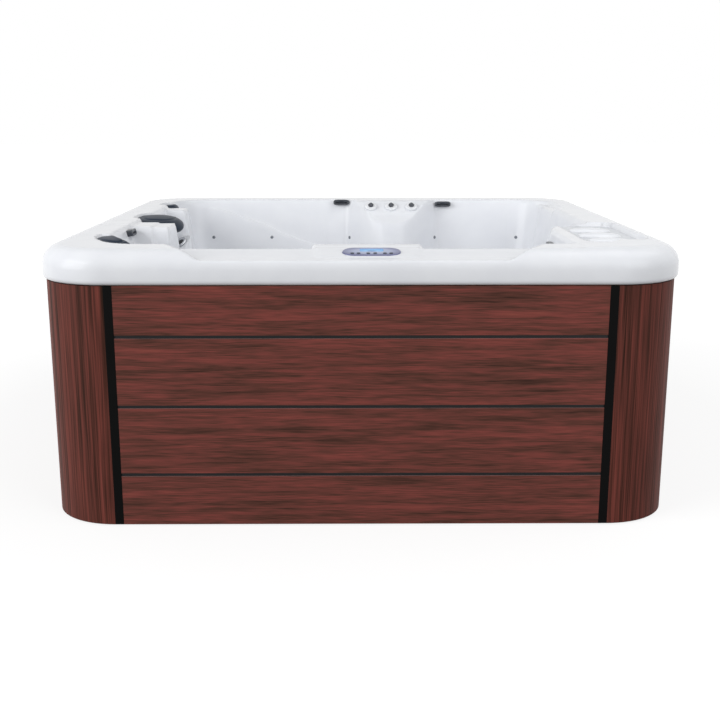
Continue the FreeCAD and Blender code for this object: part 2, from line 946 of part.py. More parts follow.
def board_spans():
    """Lower and upper edge of every board, from the floor up."""
    spans = []
    low = skirt_floor_gap
    for middle in joint_middles():
        spans.append((low, middle - joint_height / 2))
        low = middle + joint_height / 2
    spans.append((low, lip_bottom - skirt_top_gap))
    return spans


def side_turn(index):
    """Placement that turns a front piece to one of the four sides."""
    return Placement(Vector(0, 0, 0), Rotation(up, quarter_turn * index))


def side_halves(index):
    """Half length and distance from the middle of the skirt on one side."""
    if index % 2 == 0:
        return skirt_half_width, skirt_half_depth
    return skirt_half_depth, skirt_half_width


def turned(shape, index):
    """Copy of a front piece on one of the four sides."""
    copy = shape.copy()
    copy.Placement = side_turn(index)
    return copy


def boards(index, gap):
    """The boards of one side; the gap is between them and the frame."""
    length, distance = side_halves(index)
    half = length - corner_panel_radius - trim_width - board_end_gap
    shapes = []
    for low, high in board_spans():
        shapes.append(block(-half, half, -distance, gap_face(distance, gap), low, high))
    return [turned(shape, index) for shape in shapes]


def gap_face(distance, gap):
    """Back face of a board in front of the frame."""
    return board_thickness - distance - gap


def joint_strips(index, gap):
    """Black strips between the boards of one side."""
    length, distance = side_halves(index)
    half = length - corner_panel_radius - trim_width - board_end_gap
    shapes = []
    for middle in joint_middles():
        shapes.append(block(
            -half, half, joint_recess - distance, gap_face(distance, gap),
            middle - joint_height / 2, middle + joint_height / 2,
        ))
    return [turned(shape, index) for shape in shapes]


def corner_trims():
    """Upright black trims at both ends of every side."""
    shapes = []
    for index in range(4):
        length, distance = side_halves(index)
        outer = length - corner_panel_radius
        for low, high in ((-outer, trim_width - outer), (outer - trim_width, outer)):
            trim = block(
                low, high, -distance, board_thickness - distance,
                skirt_floor_gap, lip_bottom - skirt_top_gap,
            )
            shapes.append(turned(trim, index))
    return shapes


def corner_panels():
    """Four curved panels, a quarter ring each."""
    shapes = []
    height = lip_bottom - skirt_top_gap - skirt_floor_gap
    x = skirt_half_width - corner_panel_radius
    y = skirt_half_depth - corner_panel_radius
    for index, (side_x, side_y) in enumerate(((1, 1), (-1, 1), (-1, -1), (1, -1))):
        middle = Vector(side_x * x, side_y * y, skirt_floor_gap)
        outer = Part.makeCylinder(corner_panel_radius, height, middle, up, quarter_turn)
        inner = Part.makeCylinder(corner_panel_radius - board_thickness, height, middle, up, quarter_turn)
        panel = outer.cut(inner)
        panel.rotate(middle, up, quarter_turn * index)
        shapes.append(panel)
    return shapes


# Frame and base

def base_pan():
    """Flat pan under the whole tub."""
    return rounded_prism(
        -frame_half_width, frame_half_width, -frame_half_depth, frame_half_depth,
        corner_panel_radius - board_thickness, 0, pan_thickness,
    )


def rail_ring(z_low):
    """Four straight rails and four short ones across the corners."""
    shapes = []
    inset = corner_panel_radius - board_thickness
    for index in range(4):
        length, distance = side_halves(index)
        half = length - corner_panel_radius
        face = distance - board_thickness
        rail = block(-half, half, -face, timber - face, z_low, z_low + timber)
        shapes.append(turned(rail, index))
        corner = [
            Vector(half, -face, z_low),
            Vector(half + inset, inset - face, z_low),
            Vector(half + inset - timber, inset - face, z_low),
            Vector(half, timber - face, z_low),
        ]
        shapes.append(turned(polygon_prism(corner, Vector(0, 0, timber)), index))
    return shapes


def rail_top():
    """Height of the top of the upper rails."""
    return tub_height - top_rail_drop


def frame_uprights():
    """Posts between the rails, four to a side."""
    shapes = []
    low = pan_thickness + timber
    high = rail_top() - timber
    for index in range(4):
        length, distance = side_halves(index)
        reach = length - corner_panel_radius - timber / 2
        face = distance - board_thickness
        for share in upright_shares:
            middle = share * reach
            post = block(
                middle - timber / 2, middle + timber / 2, -face, timber - face, low, high)
            shapes.append(turned(post, index))
    return shapes


def footwell_cradle():
    """Bearers between the pan and the bottom of the footwell."""
    shapes = []
    reach = footwell_half_width - timber
    for share in cradle_shares:
        middle = share * reach
        shapes.append(block(
            middle - timber / 2, middle + timber / 2,
            cradle_end_gap - footwell_front, footwell_back - cradle_end_gap,
            pan_thickness, footwell_floor - shell_wall,
        ))
    return shapes


# Pillows

def pillow_outline(place, nose_reach, top_gap, fullness):
    """Section of a pillow across the rim, with a channel along its top.

    The place gives the point at a distance from the rim's edge, outwards, and a height.
    """
    edge = wall_distance(half_width, tub_height)
    floor = tub_height - pillow_recess_depth + fit_gap
    back = pillow_recess_width - fit_gap
    low = tub_height - pillow_drop * (1 + fullness) / 2
    wall_low = wall_distance(half_width, low) - edge - fit_gap
    wall_high = wall_distance(half_width, floor) - edge - fit_gap
    top = floor + (tub_height - top_gap - floor) * fullness
    back_top = floor + pillow_back_height * fullness
    nose = wall_low - nose_reach * fullness
    channel_top = top - pillow_channel * fullness
    nose_mid = (low + channel_top) / 2
    crown_top = top - pillow_channel / 2 * fullness
    under = low + (nose_mid - low) * pillow_nose_share
    points = [
        place(back, floor),
        place(back, back_top),
        place(0, channel_top),
        place(nose, nose_mid),
        place(wall_low, low),
        place(wall_high, floor),
    ]
    edges = [
        Part.makeLine(points[0], points[1]),
        Part.Arc(points[1], place(back / 2, top - fit_gap), points[2]).toShape(),
        Part.Arc(points[2], place(nose / 2, crown_top), points[3]).toShape(),
        Part.Arc(points[3], place((nose + wall_low) / 2 - fit_gap, under), points[4]).toShape(),
        Part.makeLine(points[4], points[5]),
        Part.makeLine(points[5], points[0]),
    ]
    return Part.Wire(edges)


def straight_pillow(share, length, nose_reach, top_gap):
    """Moulded head pillow over the edge of the left rim, drawn in at its ends."""
    edge = wall_distance(half_width, tub_height)
    sections = []
    for along, fullness in zip(pillow_section_shares, pillow_fullness_shares):
        y = share * half_depth + along * length / 2

        def place(out, z):
            return Vector(-edge - out, y, z)

        sections.append(pillow_outline(place, nose_reach, top_gap, fullness))
    return Part.makeLoft(sections, True, True)


def corner_pillow():
    """Moulded head pillow that bends round the front left corner."""
    sections = []
    for along, fullness in zip(pillow_section_shares, pillow_fullness_shares):
        angle = math.radians(half_turn + quarter_turn * (1 + along) / 2)
        direction = Vector(math.cos(angle), math.sin(angle), 0)

        def place(out, z):
            return corner_pillow_centre(z) + direction * (corner_pillow_radius + out)

        sections.append(pillow_outline(place, corner_pillow_nose, pillow_top_gap, fullness))
    return Part.makeLoft(sections, True, True)


# Jets and mains

def jet_face():
    """Turning face of a jet, on its own axis."""
    top = fit_gap + jet_face_height
    disc = rod(Vector(0, 0, fit_gap), up, jet_face_radius, jet_face_height)
    disc = disc.makeFillet(jet_face_rounding, edges_at_height(disc, top))
    stem = rod(Vector(0, 0, -jet_stem_length), up, jet_stem_radius, jet_stem_length + top / 2)
    face = join([disc, stem])
    bore_length = 2 * overrun + jet_stem_length + top
    bore = rod(Vector(0, 0, -jet_stem_length - overrun), up, jet_bore_radius, bore_length)
    mouth = Part.makeCone(jet_bore_radius, jet_mouth_radius, jet_face_height, Vector(0, 0, fit_gap))
    cutters = [bore, mouth]
    for index in range(jet_grip_count):
        angle = 2 * math.pi * index / jet_grip_count
        middle = Vector(math.cos(angle), math.sin(angle), 0) * jet_grip_circle
        cutters.append(rod(middle + up * (top - jet_grip_depth), up, jet_grip_radius, overrun))
    return cut_all(face, cutters)


def jet_body(wall):
    """Barrel and nut of a jet behind a wall of one thickness, on its own axis."""
    barrel = rod(Vector(0, 0, -jet_barrel_length), up, jet_barrel_radius, jet_barrel_length - fit_gap)
    nut = rod(Vector(0, 0, -wall - jet_nut_height), up, jet_nut_radius, jet_nut_height)
    body = join([barrel, nut])
    socket_radius = jet_stem_radius + running_gap
    socket = rod(Vector(0, 0, -jet_socket_depth), up, socket_radius, jet_socket_depth + overrun)
    bore = rod(Vector(0, 0, -jet_barrel_length - overrun), up, jet_bore_radius, jet_barrel_length + overrun)
    return cut_all(body, [socket, bore])


def main_path(z, radius):
    """Hollow main round the tub, from the front past the left and back to the right side."""
    x = wall_distance(half_width, jet_height) + main_offset
    y = wall_distance(half_depth, jet_height) + main_offset
    points = [
        Vector(main_start, -y, z),
        Vector(-x, -y, z),
        Vector(-x, y, z),
        Vector(x, y, z),
        Vector(x, main_end, z),
    ]
    return pipe(points, radius, main_wall, main_corner_radius)


def main_point(place, z):
    """Point in the middle of a main, straight behind a place on a wall."""
    point = place[0]
    x = wall_distance(half_width, jet_height) + main_offset
    y = wall_distance(half_depth, jet_height) + main_offset
    if abs(point.x) * half_depth > abs(point.y) * half_width:
        return Vector(math.copysign(x, point.x), point.y, z)
    return Vector(point.x, math.copysign(y, point.y), z)


def air_height():
    """Height of the air main."""
    return jet_main_height + air_main_rise


def jet_bodies(mains):
    """All jet barrels with their tails to the mains."""
    shapes = []
    places = jet_places()
    wall_depth = shell_wall * math.cos(lean_angle)
    for place in places:
        point, normal = place
        body = placed(jet_body(wall_depth if place is not places[-1] else shell_wall), point, normal)
        tail_start = point - normal * (jet_barrel_length - jet_nut_height)
        water_tail = rod_between(tail_start, main_point(place, jet_main_height), jet_tail_radius)
        air_start = point - normal * (jet_socket_depth + jet_nut_height)
        air_tail = rod_between(air_start, main_point(place, air_height()), air_stub_radius)
        bore = rod(point + normal * overrun, -normal, jet_bore_radius, overrun + jet_barrel_length)
        body = join([body, water_tail.cut(bore), air_tail.cut(bore)])
        shapes.append(cut_all(body, mains))
    return shapes


def filled_main(z, radius):
    """A main without its bore, to cut what ends on it."""
    x = wall_distance(half_width, jet_height) + main_offset
    y = wall_distance(half_depth, jet_height) + main_offset
    runs = [
        (Vector(-x, main_corner_radius - y, z), Vector(-x, y - main_corner_radius, z)),
        (Vector(main_corner_radius - x, y, z), Vector(x - main_corner_radius, y, z)),
        (Vector(x, y - main_corner_radius, z), Vector(x, main_end, z)),
        (Vector(main_start, -y, z), Vector(main_corner_radius - x, -y, z)),
    ]
    return [rod_between(start, end, radius) for start, end in runs]


# Spouts and lights

def spout():
    """Hooded water spout, standing out of a wall along its own Z axis."""
    section = [
        Vector(-spout_half_length, -spout_half_height, 0),
        Vector(-spout_half_length, spout_half_height, 0),
        Vector(-spout_half_length, spout_half_height, spout_shoulder),
        Vector(-spout_half_length, 0, spout_reach),
        Vector(-spout_half_length, -spout_half_height, spout_reach),
    ]
    hood = polygon_prism(section, Vector(2 * spout_half_length, 0, 0))
    stem = rod(Vector(0, 0, -spout_stem_length), up, spout_stem_radius, spout_stem_length)
    body = join([hood, stem])
    slot = block(
        -spout_slot_half_length, spout_slot_half_length,
        spout_slot_height - spout_half_height, 2 * spout_slot_height - spout_half_height,
        spout_reach - spout_slot_depth, spout_reach + overrun,
    )
    return body.cut(slot)


def light_point():
    """Small light with a domed head, on its own Z axis."""
    head = rod(Vector(0, 0, 0), up, light_point_radius, light_point_rise)
    head = head.makeFillet(light_point_rise / 2, edges_at_height(head, light_point_rise))
    stem = rod(Vector(0, 0, -light_point_length), up, light_point_stem, light_point_length)
    return join([head, stem])


def footwell_light():
    """Round light with a domed lens, on its own Z axis."""
    lens = rod(Vector(0, 0, 0), up, lamp_radius, lamp_rise)
    lens = lens.makeFillet(lamp_rise / 2, edges_at_height(lens, lamp_rise))
    body = rod(Vector(0, 0, -lamp_body_length), up, lamp_body_radius, lamp_body_length)
    return join([lens, body])


# Control panel

def panel_placement():
    """Placement of the panel on the sunk front of the rim."""
    point, normal = console_place(panel_middle, panel_from_lip)
    return Placement(point, Rotation(up, normal))


def at_panel(shape):
    """Copy of a shape, moved from the panel's own axes to the tub."""
    copy = shape.copy()
    copy.Placement = panel_placement()
    return copy


def panel_cutter():
    """Opening in the rim for the box of the panel."""
    half_length = panel_box_length / 2 + fit_gap
    half_breadth = panel_box_breadth / 2 + fit_gap
    return at_panel(block(
        -half_length, half_length, -half_breadth, half_breadth,
        -2 * shell_wall, overrun,
    ))


def window_space(gap, z_low, z_high):
    """Block of the display window, in the panel's own axes."""
    half = window_length / 2 + gap
    low = window_shift - window_breadth / 2 - gap
    high = window_shift + window_breadth / 2 + gap
    return rounded_prism(-half, half, low, high, window_corner_radius, z_low, z_high)


def control_panel_housing():
    """Pill-shaped housing with its box under the rim."""
    half_length = panel_length / 2
    half_breadth = panel_breadth / 2
    plate = rounded_prism(
        -half_length, half_length, -half_breadth, half_breadth,
        half_breadth - fit_gap, 0, panel_rise,
    )
    plate = plate.makeFillet(panel_rounding, edges_at_height(plate, panel_rise))
    box = block(
        -panel_box_length / 2, panel_box_length / 2,
        -panel_box_breadth / 2, panel_box_breadth / 2,
        -panel_box_depth, 0,
    )
    housing = join([plate, box])
    cutters = [window_space(fit_gap, panel_rise - window_depth, panel_rise + overrun)]
    for x in key_offsets:
        well = Vector(x, -key_shift, panel_rise - key_length - key_rise)
        cutters.append(rod(well, up, key_radius + key_gap, key_length + overrun))
    return at_panel(cut_all(housing, cutters))


def control_panel_window():
    """Display window, flush in the housing."""
    return at_panel(window_space(0, panel_rise - window_depth, panel_rise))


def panel_key(x):
    """One round key, standing a little out of the housing."""
    start = Vector(x, -key_shift, panel_rise + key_rise - key_length)
    return at_panel(rod(start, up, key_radius, key_length))


# Valves

def valve_knob():
    """Round knob with grip notches, on its own Z axis."""
    top = fit_gap + knob_height
    knob = rod(Vector(0, 0, fit_gap), up, knob_radius, knob_height)
    knob = knob.makeFillet(knob_rounding, edges_at_height(knob, top))
    stem = rod(Vector(0, 0, -knob_stem_length), up, knob_stem_radius, knob_stem_length + top / 2)
    knob = join([knob, stem])
    cutters = [rod(Vector(0, 0, top - cap_depth), up, cap_radius, overrun)]
    for index in range(knob_grip_count):
        angle = 2 * math.pi * index / knob_grip_count
        edge = Vector(math.cos(angle), math.sin(angle), 0) * (knob_radius + knob_grip_radius / 2)
        cutters.append(rod(edge, up, knob_grip_radius, top + overrun))
    return cut_all(knob, cutters)


def knob_cap():
    """Cap pressed into a knob, with a bar to grip, on its own Z axis."""
    top = fit_gap + knob_height
    cap = rod(Vector(0, 0, top - cap_depth), up, cap_radius, cap_depth + cap_rise)
    cap = cap.makeFillet(cap_rounding, edges_at_height(cap, top + cap_rise))
    side = 2 * cap_radius
    cutters = [
        block(cap_flat, side, -side, side, top + cap_rise - cap_bar_height, top + cap_rise + overrun),
        block(-side, -cap_flat, -side, side, top + cap_rise - cap_bar_height, top + cap_rise + overrun),
    ]
    return cut_all(cap, cutters)


def valve_bodies(mains):
    """Barrels under the deck, the outer two to the air main and the middle one to the water main."""
    shapes = []
    heights = (air_height(), jet_main_height, air_height())
    for place, main_height in zip(valve_places(), heights):
        point, normal = place
        barrel_length = valve_barrel_length - fit_gap
        barrel = rod(Vector(0, 0, -valve_barrel_length), up, valve_barrel_radius, barrel_length)
        nut = rod(Vector(0, 0, -shell_wall - valve_nut_height), up, valve_nut_radius, valve_nut_height)
        socket = rod(
            Vector(0, 0, -knob_stem_length - valve_nut_height), up,
            knob_stem_radius + running_gap, knob_stem_length + overrun)
        body = placed(join([barrel, nut]).cut(socket), point, normal)
        start = point - normal * (valve_barrel_length - valve_nut_height)
        tail = rod_between(start, main_point(place, main_height), valve_tail_radius)
        body = cut_all(join([body, tail]), mains)
        shapes.append(body)
    return shapes


# Filter

def lid_floor():
    """Height of the recess that the filter lid lies in."""
    return tub_height - lid_recess_depth


def filter_lid():
    """Lid with long rounded ribs across it."""
    floor = lid_floor()
    plate = block(
        lid_inner + lid_gap, lid_outer - lid_gap,
        lid_ends[0] + lid_gap, lid_ends[1] - lid_gap,
        floor, floor + lid_plate,
    )
    shapes = [plate]
    radius = (lid_rib_half_width ** 2 + lid_rib_rise ** 2) / (2 * lid_rib_rise)
    middle_x = (lid_inner + lid_outer) / 2
    pitch = (lid_ends[1] - lid_ends[0]) / (lid_rib_count + 1)
    for index in range(lid_rib_count):
        y = lid_ends[0] + pitch * (index + 1)
        start = Vector(middle_x - lid_rib_length / 2, y, floor + lid_plate + lid_rib_rise - radius)
        bar = rod(start, to_right, radius, lid_rib_length)
        keep = block(
            lid_inner, lid_outer, y - radius, y + radius,
            floor + lid_plate / 2, floor + lid_plate + 2 * lid_rib_rise)
        shapes.append(bar.common(keep))
    return join(shapes)


def tank_box(wall, z_low, z_high):
    """Block of the filter tank, grown by its wall."""
    return block(
        lid_inner + lid_ledge - wall, lid_outer - lid_ledge + wall,
        lid_ends[0] + lid_ledge - wall, lid_ends[1] - lid_ledge + wall,
        z_low, z_high,
    )


def filter_tank():
    """Open tank under the lid, with a window for the skimmer and an outlet."""
    top = lid_floor() - shell_wall
    tank = tank_box(tank_wall, tank_floor, top)
    tank = tank.cut(tank_box(0, tank_floor + tank_wall, top + overrun))
    window = block(
        filter_deck_edge, lid_inner + lid_ledge + overrun,
        mouth_ends[0], mouth_ends[1], mouth_bottom, mouth_top)
    outlet = rod(tank_outlet() - up * overrun, up, small_pipe_radius, 3 * overrun)
    peg = rod(cartridge_foot() - up * tank_wall, up, cartridge_core_radius - fit_gap, 2 * tank_wall + overrun)
    return join([cut_all(tank, [window, outlet]), peg])


def tank_outlet():
    """Middle of the hole in the tank's floor."""
    return Vector((lid_inner + lid_outer) / 2, -heater_line, tank_floor)


def cartridge_foot():
    """Middle of the tank's floor under the cartridge."""
    return Vector((lid_inner + lid_outer) / 2, cartridge_along, tank_floor + tank_wall)


def filter_cartridge():
    """Pleated cartridge with round end caps and an open core."""
    foot = cartridge_foot() + up * fit_gap
    points = []
    for index in range(2 * cartridge_pleat_count):
        radius = cartridge_radius if index % 2 == 0 else cartridge_root_radius
        angle = math.pi * index / cartridge_pleat_count
        points.append(foot + Vector(math.cos(angle), math.sin(angle), 0) * radius)
    pleats = polygon_prism(points, Vector(0, 0, cartridge_height))
    lower = rod(foot, up, cartridge_radius + cartridge_cap_height / 4, cartridge_cap_height)
    upper_foot = foot + up * (cartridge_height - cartridge_cap_height)
    upper = rod(upper_foot, up, cartridge_radius + cartridge_cap_height / 4, cartridge_cap_height)
    core = rod(foot - up * overrun, up, cartridge_core_radius, cartridge_height + 2 * overrun)
    return join([pleats, lower, upper]).cut(core)


def weir_axis():
    """Point on the hinge of the weir flap, in the middle of the mouth."""
    z = mouth_bottom + fit_gap + throat_wall + weir_floor_gap + weir_knuckle_radius
    return Vector(filter_deck_edge + weir_inset, (mouth_ends[0] + mouth_ends[1]) / 2, z)


def weir_half_length():
    """Half of the length of the weir flap, without its pins."""
    return (mouth_ends[1] - mouth_ends[0]) / 2 - fit_gap - throat_wall - weir_side_gap


def skimmer_throat():
    """Square mouth from the tub to the filter tank, with a flange on the tub's side."""
    inner_x = lid_inner + lid_ledge
    flange = block(
        filter_deck_edge - throat_flange_thickness, filter_deck_edge,
        mouth_ends[0] - throat_flange, mouth_ends[1] + throat_flange,
        mouth_bottom - throat_flange, mouth_top + throat_flange,
    )
    tube = block(
        filter_deck_edge - throat_flange_thickness, inner_x,
        mouth_ends[0] + fit_gap, mouth_ends[1] - fit_gap,
        mouth_bottom + fit_gap, mouth_top - fit_gap,
    )
    inside = fit_gap + throat_wall
    passage = block(
        filter_deck_edge - overrun, inner_x + overrun,
        mouth_ends[0] + inside, mouth_ends[1] - inside,
        mouth_bottom + inside, mouth_top - inside,
    )
    reach = weir_half_length() + weir_side_gap + throat_wall / 2
    pin_hole = rod(weir_axis() - to_back * reach, to_back, weir_pin_radius + running_gap, 2 * reach)
    return cut_all(join([flange, tube]), [passage, pin_hole])


def weir_flap():
    """Flap that stands in the mouth on two pins."""
    axis = weir_axis()
    half = weir_half_length()
    knuckle = rod(axis - to_back * half, to_back, weir_knuckle_radius, 2 * half)
    plate = block(
        axis.x - weir_thickness / 2, axis.x + weir_thickness / 2,
        axis.y - half, axis.y + half,
        axis.z, mouth_top - fit_gap - throat_wall - weir_top_gap,
    )
    reach = half + weir_side_gap + throat_wall / 2 - fit_gap
    pin = rod(axis - to_back * reach, to_back, weir_pin_radius, 2 * reach)
    return join([knuckle, plate, pin])


# Footwell fittings and the plumbing

def suction_cover():
    """Domed cover with rings of holes, on its own Z axis."""
    cover = rod(Vector(0, 0, 0), up, cover_radius, cover_rise)
    cover = cover.makeFillet(cover_rounding, edges_at_height(cover, cover_rise))
    hollow = rod(Vector(0, 0, 0), up, cover_radius - cover_rounding, cover_rise / 2)
    cutters = [hollow]
    rings = ((inner_hole_circle, inner_hole_count), (outer_hole_circle, outer_hole_count))
    for circle, count in rings:
        for index in range(count):
            angle = 2 * math.pi * index / count
            middle = Vector(math.cos(angle), math.sin(angle), 0) * circle
            cutters.append(rod(middle, up, cover_hole_radius, cover_rise + overrun))
    return cut_all(cover, cutters)


def suction_covers():
    """Covers over the suction fittings."""
    return [placed(suction_cover(), *place) for place in fitting_places()[:-1]]


def footwell_fitting(flange_radius):
    """Hollow fitting through the wall with a nut behind it, on its own Z axis."""
    tube = rod(Vector(0, 0, -fitting_length), up, fitting_radius, fitting_length)
    nut = rod(Vector(0, 0, -shell_wall - fitting_nut_height), up, fitting_nut_radius, fitting_nut_height)
    pieces = [tube, nut]
    if flange_radius > 0:
        pieces.append(rod(Vector(0, 0, 0), up, flange_radius, cover_rounding))
    bore = rod(Vector(0, 0, -fitting_length - overrun), up, pipe_radius - pipe_wall,
               fitting_length + 2 * overrun)
    return join(pieces).cut(bore)


def footwell_fittings():
    """Two suction fittings and the return, which has a flange of its own."""
    flanges = [0 for place in suction_places] + [return_cover_radius]
    return [placed(footwell_fitting(flange), *place)
            for flange, place in zip(flanges, fitting_places())]


def fitting_tail(index):
    """End of a fitting behind the wall of the footwell."""
    point, normal = fitting_places()[index]
    return point - normal * fitting_length


def pump_axis(x):
    """Point on the axis of the massage pump."""
    return Vector(x, -pump_line, fitting_height)


def wet_end_start():
    """Where the motor ends and the wet end starts."""
    return motor_end + motor_length


def massage_pump_motor():
    """Ribbed motor on its foot, with a bore for the shaft."""
    body = rod(pump_axis(motor_end), to_right, motor_radius, motor_length)
    foot = block(
        motor_end + (motor_length - motor_foot_length) / 2,
        motor_end + (motor_length + motor_foot_length) / 2,
        -pump_line - motor_foot_width / 2, motor_foot_width / 2 - pump_line,
        pan_thickness, fitting_height - motor_radius / 2,
    )
    pieces = [body, foot]
    pitch = motor_length / motor_rib_count
    for index in range(1, motor_rib_count):
        start = pump_axis(motor_end + index * pitch - motor_rib_thickness / 2)
        pieces.append(rod(start, to_right, motor_radius + motor_rib_rise, motor_rib_thickness))
    bore_start = pump_axis(wet_end_start() - shaft_length)
    bore = rod(bore_start, to_right, shaft_radius + running_gap, shaft_length + overrun)
    return join(pieces).cut(bore)


def wet_end_outlet():
    """Top of the wet end's outlet."""
    x = wet_end_start() + wet_end_length / 2
    return pump_axis(x) + up * (wet_end_radius + spigot_length)


def massage_pump_wet_end():
    """Round wet end with its chamber, inlet and outlet."""
    start = wet_end_start()
    drum = rod(pump_axis(start), to_right, wet_end_radius, wet_end_length)
    inlet = rod(pump_axis(start + wet_end_length), to_right, spigot_radius, spigot_length)
    outlet_foot = pump_axis(start + wet_end_length / 2)
    outlet = rod(outlet_foot, up, spigot_radius, wet_end_radius + spigot_length)
    chamber_length = wet_end_length - 2 * wet_end_wall
    bore = pipe_radius - pipe_wall
    cutters = [
        rod(pump_axis(start + wet_end_wall), to_right, wet_end_radius - wet_end_wall, chamber_length),
        rod(pump_axis(start - overrun), to_right, shaft_radius + running_gap, wet_end_wall + 2 * overrun),
        rod(pump_axis(start + wet_end_length - wet_end_wall), to_right, bore,
            wet_end_wall + spigot_length + overrun),
        rod(outlet_foot + up * (wet_end_radius - 2 * wet_end_wall), up, bore,
            2 * wet_end_wall + spigot_length + overrun),
    ]
    return cut_all(join([drum, inlet, outlet]), cutters)


def massage_pump_impeller():
    """Impeller with straight vanes on its shaft."""
    start = wet_end_start() + wet_end_wall + impeller_side_gap
    disc = rod(pump_axis(start), to_right, impeller_radius, impeller_disc)
    hub = rod(pump_axis(start), to_right, impeller_hub_radius, impeller_disc + impeller_vane_height)
    shaft_start = wet_end_start() - shaft_length + fit_gap
    shaft = rod(pump_axis(shaft_start), to_right, shaft_radius, start - shaft_start + impeller_disc)
    pieces = [disc, hub, shaft]
    for index in range(impeller_vane_count):
        vane = block(
            start, start + impeller_disc + impeller_vane_height,
            -pump_line - impeller_vane_thickness / 2, impeller_vane_thickness / 2 - pump_line,
            fitting_height + impeller_hub_radius / 2, fitting_height + impeller_radius - fit_gap,
        )
        vane.rotate(pump_axis(start), to_right, full_turn * index / impeller_vane_count)
        pieces.append(vane)
    return join(pieces)


def heater_axis(x):
    """Point on the common axis of the heater and the circulation pump."""
    return Vector(x, -heater_line, fitting_height)


def saddle(x, radius):
    """Block from the pan up to a round body on the heater's axis."""
    return block(
        x - saddle_length / 2, x + saddle_length / 2,
        -heater_line - saddle_width / 2, saddle_width / 2 - heater_line,
        pan_thickness, fitting_height - radius / 2,
    )


def heater():
    """Heater tube with unions at its ends, on two saddles."""
    end = heater_start + heater_length
    pieces = [
        rod(heater_axis(heater_start), to_right, heater_radius, heater_length),
        rod(heater_axis(heater_start), to_right, heater_union_radius, heater_union_length),
        rod(heater_axis(end - heater_union_length), to_right, heater_union_radius, heater_union_length),
        saddle(heater_start + heater_length / 4, heater_radius),
        saddle(end - heater_length / 4, heater_radius),
    ]
    bore = rod(heater_axis(heater_start - overrun), to_right, small_pipe_radius - pipe_wall,
               heater_length + 2 * overrun)
    return join(pieces).cut(bore)


def circulation_pump():
    """Small in-line pump on a saddle."""
    pieces = [
        rod(heater_axis(circulation_start), to_right, circulation_radius, circulation_length),
        saddle(circulation_start + circulation_length / 2, circulation_radius),
    ]
    bore = rod(heater_axis(circulation_start - overrun), to_right, small_pipe_radius - pipe_wall,
               circulation_length + 2 * overrun)
    return join(pieces).cut(bore)


def control_box():
    """Box with the electrics and the gland for the supply cord."""
    end = control_box_start + control_box_length
    top = pan_thickness + control_box_height
    box = rounded_prism(
        control_box_start, end,
        -control_box_front, control_box_depth - control_box_front,
        control_box_rounding, pan_thickness, top,
    )
    place = Vector(end, control_box_depth / 2 - control_box_front, pan_thickness + control_box_height / 4)
    gland = rod(place, to_right, gland_radius, gland_length)
    return [box, gland]


def pipes(mains):
    """Suction, pressure, return and filter pipes."""
    suction_start = pump_axis(wet_end_start() + wet_end_length + spigot_length)
    last = fitting_tail(1)
    suction = pipe(
        [suction_start, Vector(last.x, -pump_line, fitting_height), last],
        pipe_radius, pipe_wall, pipe_bend)
    branch_end = fitting_tail(0)
    branch_start = Vector(branch_end.x, -pump_line, fitting_height)
    branch = rod_between(branch_start, branch_end, pipe_radius)
    branch_bore = rod_between(branch_start, branch_end, pipe_radius - pipe_wall)
    run_bore = rod(suction_start, to_right, pipe_radius - pipe_wall,
                   branch_end.x - suction_start.x + pipe_radius)
    suction = cut_all(suction.fuse(branch), [branch_bore, run_bore]).removeSplitter()
    outlet = wet_end_outlet()
    front = -wall_distance(half_depth, jet_height) - main_offset
    cross_height = outlet.z + pipe_bend
    pressure = pipe(
        [outlet, Vector(outlet.x, outlet.y, cross_height), Vector(outlet.x, front, cross_height),
         Vector(outlet.x, front, jet_main_height)],
        pipe_radius, pipe_wall, pipe_bend)
    pressure = cut_all(pressure, mains)
    return_end = fitting_tail(2)
    returning = pipe(
        [heater_axis(heater_start), Vector(return_end.x, -heater_line, fitting_height), return_end],
        small_pipe_radius, pipe_wall, pipe_bend)
    heater_end = heater_start + heater_length
    link = rod_between(heater_axis(heater_end), heater_axis(circulation_start), small_pipe_radius)
    link_bore = rod_between(
        heater_axis(heater_end), heater_axis(circulation_start), small_pipe_radius - pipe_wall)
    tank = tank_outlet()
    filter_run = pipe(
        [heater_axis(circulation_start + circulation_length), heater_axis(tank.x), tank],
        small_pipe_radius, pipe_wall, pipe_bend)
    return [suction, pressure, returning, link.cut(link_bore), filter_run]


def drain_middle():
    """Middle of the drain valve's block."""
    point, normal = drain_place_point()
    return point - normal * (drain_body_length - drain_block / 2)


def drain_valve():
    """Drain through the wall of the footwell, with a square valve block on its end."""
    point, normal = drain_place_point()
    tube = rod(point, -normal, drain_body_radius, drain_body_length - drain_block)
    nut = rod(point - normal * shell_wall, -normal, fitting_nut_radius * 3 / 4, fitting_nut_height)
    middle = drain_middle()
    half = drain_block / 2
    body = block(
        middle.x - half, middle.x + half, middle.y - half, middle.y + half,
        middle.z - half, middle.z + half,
    )
    bore = rod(point + normal * overrun, -normal, drain_body_radius / 2, drain_body_length)
    socket = rod(middle, up, drain_spindle_radius + running_gap, drain_block)
    return cut_all(join([tube, nut, body]), [bore, socket])


def drain_handle():
    """Lever on the drain valve."""
    middle = drain_middle()
    top = drain_block / 2
    spindle = rod(middle + up * drain_spindle_radius, up, drain_spindle_radius,
                  top + drain_spindle_rise - drain_spindle_radius)
    half = drain_handle_width / 2
    z = middle.z + top + drain_spindle_rise - fit_gap
    lever = block(
        middle.x - drain_handle_length, middle.x + half, middle.y - half, middle.y + half,
        z, z + drain_handle_thickness,
    )
    return join([spindle, lever])


# Build

def save(name, shapes):
    """Write one node, a single shape or a group of separate ones."""
    shape = Part.makeCompound(shapes) if isinstance(shapes, list) else shapes
    shape.exportStep("parts/" + name + ".step")
    print(name, len(shape.Solids), shape.isValid())


